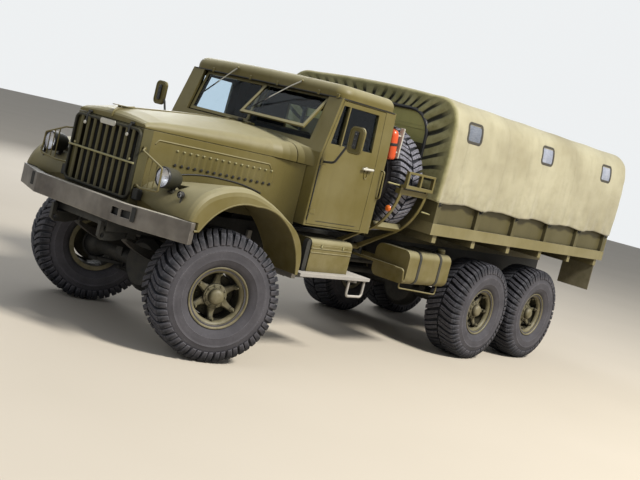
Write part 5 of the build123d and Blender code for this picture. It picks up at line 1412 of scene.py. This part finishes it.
def makeLamps():
    # profiles turned round the lamp's axis: bowl, bezel, mirror, bulb, glass, and the marker's own
    h = headlamp
    face = placedAt(fromAxle(h["face"]), (1, 0, 0), (0, 1, 0))
    bowl = lathe([
        (0.0, -0.200), (0.030, -0.199), (0.056, -0.19), (0.076, -0.168), (0.089, -0.138), (0.096, -0.10),
        (0.098, -0.06), (0.098, -0.006), (0.0935, -0.006), (0.0925, -0.02), (0.060, -0.075),
        (0.0, -0.085),
    ], 48)
    stem = bar(fromAxle([(*h["stem"], z) for z in h["stemZ"]]), 0.022, sides=16, up=(1, 0, 0))
    foot = [(0.050, 0.0), (0.050, 0.006), (0.030, 0.012), (0.022, 0.028)]
    foot = latheAt(foot, 24, fromAxle((*h["stem"], h["footZ"])))
    bowls = both(gather([moved(bowl, face), stem, foot]))
    piece("headlamp_bowls", bowls, "lampShell", 34, replaces=["headlamps"])
    bezel = lathe([
        (0.094, -0.014), (0.10, -0.012), (0.1012, 0.000), (0.10, 0.009), (0.0965, 0.0145),
        (0.0915, 0.0155), (0.0885, 0.012), (0.088, 0.004), (0.09, -0.004),
    ], 48, closed=True)
    markerFace = placedAt(fromAxle(h["marker"]), (1, 0, 0), (0, 1, 0))
    marker = lathe([
        (0.0, -0.030), (0.022, -0.028), (0.031, -0.016), (0.033, 0.0), (0.033, 0.020), (0.028, 0.022),
        (0.027, 0.016),
    ], 28)
    x, y, z = fromAxle(h["marker"])
    stalk = bar([(x - 0.012, y, z + dz) for dz in h["stalkZ"]], 0.009, sides=10, up=(1, 0, 0))
    bezels = both(gather([moved(bezel, face), moved(marker, markerFace), stalk]))
    piece("lamp_bezels", bezels, "blackPlastic", 34)
    mirror = lathe([
        (0.0905, 0.002), (0.089, -0.010), (0.076, -0.036), (0.056, -0.056), (0.03, -0.069),
        (0.0, -0.0735),
    ], 48)
    bulb = lathe([
        (0.009, -0.074), (0.010, -0.050), (0.012, -0.040), (0.011, -0.030), (0.006, -0.024),
        (0.0, -0.0225),
    ], 16)
    piece("lamp_mirrors", both(moved(gather([mirror, bulb]), face)), "polished", 50)
    lens = lathe([
        (0.0, 0.0055), (0.050, 0.0035), (0.0885, 0.0005), (0.0892, 0.003), (0.076, 0.009),
        (0.050, 0.015), (0.025, 0.0185), (0.0, 0.0195),
    ], 48)
    cap = [(0.0, 0.016), (0.0265, 0.016), (0.0265, 0.020), (0.020, 0.028), (0.010, 0.032), (0.0, 0.033)]
    cap = lathe(cap, 24)
    glass = both(gather([moved(lens, face), moved(cap, markerFace)]))
    piece("lamp_glass", glass, "lampGlass", 50, replaces=["lamp_lenses"])
    print("lamps made")


# Bonnet sides and wings: pale buttons and dark discs as the louvres' painted highlights and shadows, the
# rubber seam above the wing, the rolled lip of the arch

louvre = {
    "first": 0.480,
    "pitch": 0.0737,
    "count": 16,
    "top": 1.898,
    "bottom": 1.752,
    "out": (0.192, 0.981, 0),
}
# (x from the front axle, z)
bonnetSeam = (
    (0.62, 1.615), (0.50, 1.652), (0.30, 1.694), (0.09, 1.716), (-0.15, 1.712), (-0.30, 1.700),
    (-0.44, 1.676), (-0.56, 1.648),
)
wingLip = ((0.735, 1.262), (0.672, 1.268), (0.470, 1.470), (0.0, 1.571), (-0.524, 1.398), (-0.768, 0.945))
wingLipY = 1.327


def bonnetHalf(x):
    # half width of the bonnet's straight sides at x from the front axle
    return 0.515 + (0.860 - np.asarray(x, float)) / 1.660 * 0.325


def makeBonnetTrim():
    # a pale button above each louvre as its painted highlight and a dark disc below it as its painted shadow;
    # seam and lip are bars carried along curves
    m = louvre
    xs = m["first"] - np.arange(m["count"]) * m["pitch"]

    def row(dx, dy, z):
        # one place above or below each louvre
        return [placedAt(fromAxle((x + dx, bonnetHalf(x) + dy, z)), m["out"], (0, 0, 1)) for x in xs]

    # painted highlight: a pale button at the top of each louvre
    buttons = copies(dome(0.011, 0.010), row(0, 0.011, m["top"] - 0.006))
    piece("louvre_buttons", both(buttons), "paleOlive", 50)
    # painted shadow: a dark disc at the foot of each louvre
    louvreShadow = gather([lathe([(0.013, -0.002), (0.013, 0.0015), (0.009, 0.0022)], 14), disc(0.009, 0.0018, 14)])
    louvreShadows = copies(louvreShadow, row(-0.004, 0.014, m["bottom"] + 0.006))
    seam = curveThrough(bonnetSeam, 5)
    line = np.stack([seam[:, 0], bonnetHalf(seam[:, 0]) + 0.002, seam[:, 1]], -1)
    seamBar = carried(roundOutline(0.007, 8), fromAxle(line), (0, 1, 0))
    piece("bonnet_dark", both(gather([louvreShadows, seamBar])), "blackPlastic", 40)
    arc = np.concatenate([[wingLip[0]], arcThrough(*wingLip[1:4], 22), arcThrough(*wingLip[3:6], 26)[1:]])
    lip = np.stack([arc[:, 0], wingLipY + 0 * arc[:, 0], arc[:, 1]], -1)
    bead = carried(roundOutline(0.0105, 10), fromAxle(lip), (0, 1, 0))
    piece("wing_beads", both(bead), "bodyPaint", 50)
    print("bonnet trim made")


# Cab: wipers, roof gutter, lugs, door trim, mirrors, grab rails, extinguisher

cab = {
    "front": frontAxle - 1.040,
    "rear": frontAxle - 1.980,
    "half": 1.160,
    "drip": 2.784,
    "gutterOut": 0.004,
    "lugs": (-0.82, -0.21, 0.21, 0.82, 1.09),
    "lug": ((-0.012, -0.016, 2.772), (0.014, 0.016, 2.822)),
    # from the front axle: each wiper from its pivot to where its arm holds the blade
    "wipers": (
        ((-1.020, -0.420, 2.874), (-1.000, -0.500, 2.800), (-0.935, -0.640, 2.640)),
        ((-1.020, 0.573, 2.877), (-0.990, 0.440, 2.790), (-0.893, 0.215, 2.590)),
    ),
    "blade": (-0.06, 0.16),
    "catch": ((-0.935, -0.125, 2.315), (-0.900, -0.075, 2.340)),
    "rail": ((-1.930, 1.186, 2.150), (-1.930, 1.236, 2.145), (-1.950, 1.236, 1.850), (-1.950, 1.186, 1.840)),
}


def makeCabTrim():
    # gutter: box outline carried round the roof; each wiper is a tapering arm with a blade
    c = cab
    out = c["gutterOut"]
    ring = roundedRing((c["front"] - c["rear"]) / 2 + out, c["half"] + out, 0.05)
    drip = np.stack([(c["front"] + c["rear"]) / 2 + ring[:, 0], ring[:, 1], c["drip"] + 0 * ring[:, 0]], -1)
    gutter = carried(boxOutline(0.010, 0.010, 0.002), drip, ringPath=True)
    lugs = blocksAt([(c["front"], y, 0) for y in c["lugs"]], *c["lug"])
    arms, blades = [], []
    for corners in c["wipers"]:
        corners = fromAxle(corners)
        path = softPath(corners, 0.04)
        size = np.linspace(1.1, 0.7, len(path))
        arms.append(carried(roundOutline(0.0075, 8), path, (0, 1, 0.01), scale=size))
        lugs.append(moved(dome(0.014, 0.016), placedAt(corners[0], (0.9, 0, 0.4), (0, 1, 0))))
        along = corners[-1] - corners[-2]
        along /= np.linalg.norm(along)
        blade = [corners[-1] + along * reach for reach in c["blade"]]
        blades.append(carried(boxOutline(0.008, 0.018, 0.003), blade, (1, 0, 0.4)))
    piece("wiper_arms", gather(arms), "paleSteel", 40)
    dark = [gutter, axleBlock(*c["catch"])] + blades
    piece("cab_dark_trim", gather(dark), "blackPlastic", 30)
    rails = both(bar(fromAxle(c["rail"]), 0.010, 0.03, 10, (1, 0, 0)))
    piece("cab_rails", gather(lugs + [rails]), "bodyPaint", 34)
    print("cab trim made")


# the driver's door, from the front axle
door = {
    "mirrorArm": (
        (-0.930, 1.180, 2.110), (-0.930, 1.340, 2.130), (-0.950, 1.440, 2.330), (-0.950, 1.500, 2.345),
    ),
    "mirror": (-0.937, 1.535, 2.400),
    "mirrorHalf": (0.082, 0.127),
    "holder": ((-0.939, 1.512, 2.315), (-0.918, 1.562, 2.490)),
    "holderBolts": (2.345, 2.402, 2.460),
    "groove": ((-1.700, 1.1885, 1.494), (-1.040, 1.1925, 1.500)),
    "hingeRod": ((-0.893, 1.196, 2.150), (-0.893, 1.196, 1.500)),
    "ventBar": ((-1.146, 1.192, 2.312), (-1.187, 1.167, 2.718)),
    "grip": ((-1.745, 1.222, 2.134), (-1.565, 1.220, 2.128)),
    "boss": (-1.660, 1.188, 2.132),
    "loopY": 1.194,
    "loop": ((-1.640, 2.105), (-1.642, 2.040), (-1.668, 2.018), (-1.694, 2.040), (-1.696, 2.105)),
}


def makeDoorTrim():
    # bars, blocks and a turned boss on the driver's door, then mirrored for the other
    d = door
    arm = bar(fromAxle(d["mirrorArm"]), 0.0125, 0.035, 12, (1, 0, 0.01), 7)
    ring = upright(roundedRing(*d["mirrorHalf"], 0.050), *fromAxle(d["mirror"]))
    rim = carried(boxOutline(0.010, 0.008, 0.002), ring, (1, 0, 0), ringPath=True)
    holder = axleBlock(*d["holder"], 0.006)
    holderBolts = boltRow([fromAxle((-0.918, 1.537, z)) for z in d["holderBolts"]], (1, 0, 0), 0.008, 0.006)
    # a near-black strip as the painted shade of the pressed groove near the door's foot
    groove = axleBlock(*d["groove"], 0.001)
    rod = bar(fromAxle(d["hingeRod"]), 0.006, sides=8, up=(1, 0, 0))
    ventBar = carried(boxOutline(0.020, 0.016, 0.003), fromAxle(d["ventBar"]), (0, 1, 0))
    grip = bar(fromAxle(d["grip"]), 0.0125, sides=12)
    boss = [(0.022, -0.004), (0.022, 0.004), (0.013, 0.008), (0.010, 0.030)]
    boss = latheAt(boss, 24, fromAxle(d["boss"]), (0, 1, 0))
    loop = bar(fromAxle([(x, d["loopY"], z) for x, z in d["loop"]]), 0.0055, 0.03, 8, (0, 1, 0))
    dark = gather([arm, holder, groove, rod, holderBolts])
    bright = gather([grip, boss])
    bead = gather([rim, ventBar, loop])
    for side in ("left", "right"):
        body = side + "_door"
        if side == "right":
            dark, bright, bead = mirrored(dark), mirrored(bright), mirrored(bead)
        piece(f"door_{side}_dark", dark, "blackPlastic", 34, body)
        piece(f"door_{side}_bright", bright, "paleSteel", 34, body)
        piece(f"door_{side}_bead", bead, "bodyPaint", 34, body)
    print("door trim made")


# from the front axle
bottle = {
    "foot": (-2.108, 1.118, 2.292),
    "head": (-2.066, 1.112, 2.650),
    "stand": ((-2.186, 1.126, 2.320), (-2.166, 1.184, 2.660)),
    "arm": ((-2.180, 1.130, 0), (-2.105, 1.158, 0.018)),
    "armZ": (2.375, 2.560),
}


def makeBottle():
    # fire bottle that leans a little, its band, and the pale bracket behind it
    b = bottle
    foot, head = fromAxle(b["foot"]), fromAxle(b["head"])
    axis = placedAt(foot, head - foot, (0, 1, 0))
    body = lathe([
        (0.0, 0.004), (0.034, 0.0), (0.050, 0.006), (0.0595, 0.020), (0.062, 0.040), (0.062, 0.270),
        (0.058, 0.295), (0.046, 0.318), (0.028, 0.333), (0.020, 0.340), (0.018, 0.345), (0.0, 0.346),
    ], 40)
    piece("fire_bottle", moved(body, axis), "redPaint", 40, replaces=["extinguisher"])
    band = lathe([(0.0615, 0.155), (0.065, 0.156), (0.065, 0.186), (0.0615, 0.187)], 40)
    valve = [(0.016, 0.338), (0.016, 0.352), (0.024, 0.354), (0.024, 0.366), (0.012, 0.370), (0.0, 0.371)]
    valve = lathe(valve, 20)
    lever = block((-0.010, -0.012, 0.352), (0.060, 0.012, 0.360), 0.003)
    piece("bottle_band", moved(gather([band, valve, lever]), axis), "blackPlastic", 36)
    arms = [axleBlock(*(np.array(b["arm"]) + [0, 0, z]), 0.003) for z in b["armZ"]]
    piece("bottle_bracket", gather([axleBlock(*b["stand"])] + arms), "paleSteel", 34)
    print("extinguisher made")


# Boxes, tanks and the spare wheel's fittings, from the front axle

flank = {
    "boxX": (-1.735, -1.065),
    "ribY": 1.211,
    "ribZ": (1.214, 1.170),
    "lidY": 1.209,
    "lidZ": 1.246,
    "shelf": ((-1.005, 1.300), (-0.985, 1.270), (-0.985, 0.968), (-1.045, 0.968), (-1.045, 1.300)),
    "shelfY": (1.150, 1.206),
    "latchX": (-1.22, -1.58),
    "tankMiddle": (0.995, 1.110),
    "tankHalf": (0.2565, 0.2015),
    "strapX": (-3.46, -3.03),
    "cap": (-3.630, 1.100, 1.336),
    "reflector": (-2.196, 1.205, 1.760),
    "rods": (
        ((-1.990, 1.270, 2.048), (-2.360, 1.275, 2.035)),
        ((-2.725, 1.288, 1.791), (-3.060, 1.296, 1.762)),
    ),
}


def makeSideTrim():
    # outlines carried along the boxes and round the tanks; cap and reflector are turned profiles
    f = flank
    ribs = [fromAxle([(x, f["ribY"], z) for x in f["boxX"]]) for z in f["ribZ"]]
    ribs = [carried(roundOutline(0.0065, 8), rib) for rib in ribs]
    lid = carried(boxOutline(0.006, 0.010, 0.002), fromAxle([(x, f["lidY"], f["lidZ"]) for x in f["boxX"]]))
    piece("box_ribs", both(gather(ribs + [lid])), "bodyPaint", 40)
    shelf = plate([(z, frontAxle + x) for x, z in f["shelf"]], 1, *f["shelfY"])
    wide, high = (half + 0.002 for half in f["tankHalf"])
    ring = roundedRing(wide, high, 0.092)
    straps = []
    for x in f["strapX"]:
        path = upright(ring, frontAxle + x, *f["tankMiddle"])
        straps.append(carried(boxOutline(0.006, 0.046, 0.0015), path, (1, 0, 0), ringPath=True))
    piece("side_dark_trim", both(gather([shelf] + straps)), "chassisPaint", 34)
    cap = [(0.052, -0.01), (0.052, 0.018), (0.046, 0.030), (0.030, 0.036), (0.0, 0.037)]
    cap = latheAt(cap, 32, fromAxle(f["cap"]))
    latches = [axleBlock((x - 0.014, 1.208, 1.228), (x + 0.014, 1.220, 1.262), 0.003) for x in f["latchX"]]
    piece("side_bright_trim", both(gather([cap] + latches)), "paleOlive", 34)
    lens = [(0.0, -0.006), (0.034, -0.006), (0.036, 0.002), (0.030, 0.010), (0.015, 0.015), (0.0, 0.016)]
    lens = latheAt(lens, 28, fromAxle(f["reflector"]), (1, 0.25, 0), (0, 0, 1))
    piece("spare_reflector", lens, "orangeLens", 50, "spare_cradle")
    rods = [bar(fromAxle(ends), 0.009, sides=10) for ends in f["rods"]]
    piece("spare_rods", gather(rods), "paleOlive", 40, "spare_cradle")
    print("side trim made")


# Bed: hooks on the posts, the board in the canvas arch, tailgate latches

bed = {
    "posts": 6,
    "hook": ((1.374, 1.915), (1.404, 1.905), (1.408, 1.935)),
    "hookPlate": ((-0.022, 1.372, 1.890), (0.022, 1.379, 1.940)),
    "boardHalf": 0.968,
    "boardTop": 2.928,
    "boardFoot": 2.552,
    "boardCorner": 0.290,
    "boardX": (0.334, 0.346),
    "battenZ": (2.560, 2.715),
    "batten": (0.345, 0.352, 0.02, 0.045),  # from x to x, set in at each end, height
    "latchY": (-1.20, 1.20),
    "latchPlate": ((-4.319, -0.030, 2.440), (-4.310, 0.030, 2.520)),
    "latchPin": (-4.312, 2.500, 2.400),
}


def makeBedTrim():
    # a hook and its plate at each post, the board with an arched top, latches with their pins
    b = bed
    posts = cover["firstPost"] - np.arange(b["posts"]) * cover["postPitch"]
    hooks = [bar([(x, y, z) for y, z in b["hook"]], 0.0065, 0.012, 8, (1, 0, 0)) for x in posts]
    plates = blocksAt([(x, 0, 0) for x in posts], *b["hookPlate"], 0.002)
    piece("bed_hooks", both(gather(hooks + plates)), "chassisPaint", 34)
    half, top, r = b["boardHalf"], b["boardTop"], b["boardCorner"]
    quarter = cornerArc(half, top, r, 14)
    foot = [(-half, b["boardFoot"]), (half, b["boardFoot"])]
    board = plate(foot + quarter + [(-y, z) for y, z in quarter[::-1]], 0, *b["boardX"])
    near, far, inset, high = b["batten"]
    battens = [block((near, inset - half, z), (far, half - inset, z + high), 0.003) for z in b["battenZ"]]
    # its finish paints light on the board
    piece("arch_board", gather([board] + battens), "archPaint", 34)
    latches = blocksAt([(0, y, 0) for y in b["latchY"]], *b["latchPlate"], 0.003)
    x, top, foot = b["latchPin"]
    pins = [bar([(x, y, top), (x, y, foot)], 0.008, sides=10, up=(1, 0, 0)) for y in b["latchY"]]
    piece("gate_latches", gather(latches + pins), "chassisPaint", 34, "rear_gate")
    print("bed trim made")


# Seats: swollen pads with sewn channels, and the dials on the dashboard

seats = {
    "voxel": 0.014,
    "edge": 0.030,
    "pressure": 4,
    "cap": 0.010,
    "frames": 20,
    "channel": 0.115,
    "channelDepth": 0.011,
    "channelHalf": 0.014,
    "cushion": ((1.402, 1.912), (1.796, 1.902)),
    "back": ((1.354, 1.440), (1.930, 2.372)),
    "places": ((-0.938, 0.118), (0.152, 0.938)),
}
dials = {"x": 2.200, "y": (0.32, 0.42, 0.54, 0.64), "z": 2.090, "out": (-1, 0, 0.1)}


def settled(made):
    # the object's mesh with its modifiers worked in
    shape = bpy.data.meshes.new_from_object(made.evaluated_get(bpy.context.evaluated_depsgraph_get()))
    made.modifiers.clear()
    made.data = shape
    return placesOf(shape)


def placesOf(mesh):
    # a mesh's points, as an (n, 3) array
    flat = np.zeros(len(mesh.vertices) * 3)
    mesh.vertices.foreach_get("co", flat)
    return flat.reshape(-1, 3)


def makePad(name, low, high, axis):
    # box with round edges, remeshed, swollen by cloth pressure up to the cap, then drawn in along its
    # channels; axis is the one that the padded face looks along
    s = seats
    pad = piece(name, block(low, high, s["edge"]), "seatCloth", 80)
    even = pad.modifiers.new("even", "REMESH")
    even.mode = "VOXEL"
    even.voxel_size = s["voxel"]
    points = rest = settled(pad)
    cloth = pad.modifiers.new("swell", "CLOTH")
    cloth.settings.use_pressure = True
    cloth.settings.uniform_pressure_force = s["pressure"]
    cloth.settings.effector_weights.gravity = 0
    cloth.point_cache.frame_end = s["frames"]
    for number in range(1, s["frames"] + 1):
        bpy.context.scene.frame_set(number)
    move = settled(pad) - rest
    far = np.linalg.norm(move, axis=1, keepdims=True)
    points = rest + move * np.minimum(1, s["cap"] / np.maximum(far, 1e-9))
    bpy.context.scene.frame_set(1)
    middle, half = (np.array(low) + high) / 2, (np.array(high) - low) / 2
    out = np.clip((points[:, axis] - middle[axis]) / half[axis], 0, 1)
    wide = 2 * half[1]
    count = round(wide / s["channel"])
    phase = (points[:, 1] - low[1]) / wide * count
    near = np.abs(phase - np.round(phase)) * wide / count
    inner = (np.round(phase) > 0.5) & (np.round(phase) < count - 0.5)
    points[:, axis] -= s["channelDepth"] * out ** 2 * np.exp(-((near / s["channelHalf"]) ** 2)) * inner
    pad.data.vertices.foreach_set("co", points.ravel())
    pad.data.update()
    soft = pad.modifiers.new("soft", "SUBSURF")
    soft.levels = 1
    soft.render_levels = 1
    return pad


def makeSeats():
    # two cushions and two backs, then the dials' faces and rims as turned profiles
    s = seats
    for label, axis in (("cushion", 2), ("back", 0)):
        (x1, x2), (z1, z2) = s[label]
        for place, (y1, y2) in zip(("near", "far"), s["places"]):
            makePad(f"seat_{label}_{place}", (x1, y1, z1), (x2, y2, z2), axis)
    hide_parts("seat_cushions")
    face = lathe([(0.0, 0.0), (0.036, 0.0), (0.0365, 0.003), (0.0, 0.0035)], 28)
    rim = [(0.036, -0.002), (0.043, -0.002), (0.043, 0.006), (0.039, 0.009), (0.036, 0.006)]
    rim = lathe(rim, 28, closed=True)
    spots = [placedAt((dials["x"], y, dials["z"]), dials["out"], (0, 0, 1)) for y in dials["y"]]
    piece("dial_faces", copies(face, spots), "paleSteel", 40)
    piece("dial_rims", copies(rim, spots), "blackPlastic", 40)
    print("seats made")


makeNose()
makeLamps()
makeBonnetTrim()
makeCabTrim()
makeDoorTrim()
makeBottle()
makeSideTrim()
makeBedTrim()
makeSeats()


# Camera, light and floor

# solved from the photograph
view = {
    "place": (10.332, 7.997, 2.377),
    "right": (-0.6357, 0.73355, 0.2404),
    "up": (0.07907, -0.2479, 0.96555),
    "back": (0.76788, 0.63281, 0.09959),
    "focalPixels": 1027.49,
    "widthPixels": 640,
    "sensor": 36,
}
lights = {
    "sun side": dict(
        place=(0.5, 13.5, 15.5), aim=(0, 0, 1.2), size=3.6, power=4700, colour=(1.0, 0.97, 0.90),
    ),
    "front fill": dict(
        place=(15.0, 1.0, 7.0), aim=(2.0, 0, 1.4), size=6.0, power=160, colour=(0.93, 0.96, 1.0),
    ),
    "far side": dict(
        place=(-6.0, -14.0, 9.0), aim=(0, 0, 1.4), size=8.0, power=900, colour=(0.93, 0.96, 1.0),
    ),
}
sky = {"lit": (0.80, 0.86, 0.95), "seen": (0.90, 0.92, 0.93), "strength": (0.34, 0.95)}
ground = {"half": 60, "dark": (0.60, 0.54, 0.45), "pale": (0.66, 0.595, 0.505)}


def makeCamera():
    # right, up and back are its own x, y and z in the truck's frame
    data = bpy.data.cameras.new("camera")
    data.lens = view["focalPixels"] * view["sensor"] / view["widthPixels"]
    data.sensor_width = view["sensor"]
    data.clip_end = 200
    camera = bpy.data.objects.new("camera", data)
    bpy.context.scene.collection.objects.link(camera)
    turn = Matrix((view["right"], view["up"], view["back"])).transposed()
    camera.matrix_world = Matrix.Translation(view["place"]) @ turn.to_4x4()
    bpy.context.scene.camera = camera


def makeLight(name, place, aim, size, power, colour):
    # square lamp at its place, turned to its aim
    data = bpy.data.lights.new(name, "AREA")
    data.size = size
    data.energy = power
    data.color = colour
    made = bpy.data.objects.new(name, data)
    made.location = place
    made.rotation_euler = (Vector(aim) - Vector(place)).to_track_quat("-Z", "Y").to_euler()
    bpy.context.scene.collection.objects.link(made)


def makeFloor():
    # one large square, softly mottled
    material, tree, shader = newFinish("paleFloor", **{"Roughness": 0.9, "Specular IOR Level": 0.1})
    mottle = noiseIn(tree, nodeIn(tree, "TexCoord").outputs["Object"], 0.35, 2.0)
    colour = mixIn(tree, mottle, shadeOf(ground["dark"]), shadeOf(ground["pale"]))
    tree.links.new(colour, shader.inputs["Base Color"])
    size = ground["half"]
    mesh = bpy.data.meshes.new("floor")
    corners = [(-size, -size, 0), (size, -size, 0), (size, size, 0), (-size, size, 0)]
    mesh.from_pydata(corners, [], [(0, 1, 2, 3)])
    mesh.materials.append(material)
    floor = bpy.data.objects.new("floor", mesh)
    bpy.context.scene.collection.objects.link(floor)


def makeSky():
    # brighter where the camera sees it, itself or through glass or in a reflection
    world = bpy.data.worlds.new("world")
    bpy.context.scene.world = world
    world.use_nodes = True
    tree = world.node_tree
    background = tree.nodes["Background"]
    path = nodeIn(tree, "LightPath").outputs
    through = mathIn(tree, "MAXIMUM", path["Is Glossy Ray"], path["Is Transmission Ray"])
    seen = mathIn(tree, "MAXIMUM", path["Is Camera Ray"], through)
    tree.links.new(mixIn(tree, seen, shadeOf(sky["lit"]), shadeOf(sky["seen"])), background.inputs["Color"])
    tree.links.new(rangeIn(tree, seen, 0.0, 1.0, *sky["strength"]), background.inputs["Strength"])


def makeStage():
    bpy.context.scene.view_settings.view_transform = "Standard"
    makeFloor()
    makeSky()
    for name, values in lights.items():
        makeLight(name, **values)
    print("stage made")


makeCamera()
makeStage()
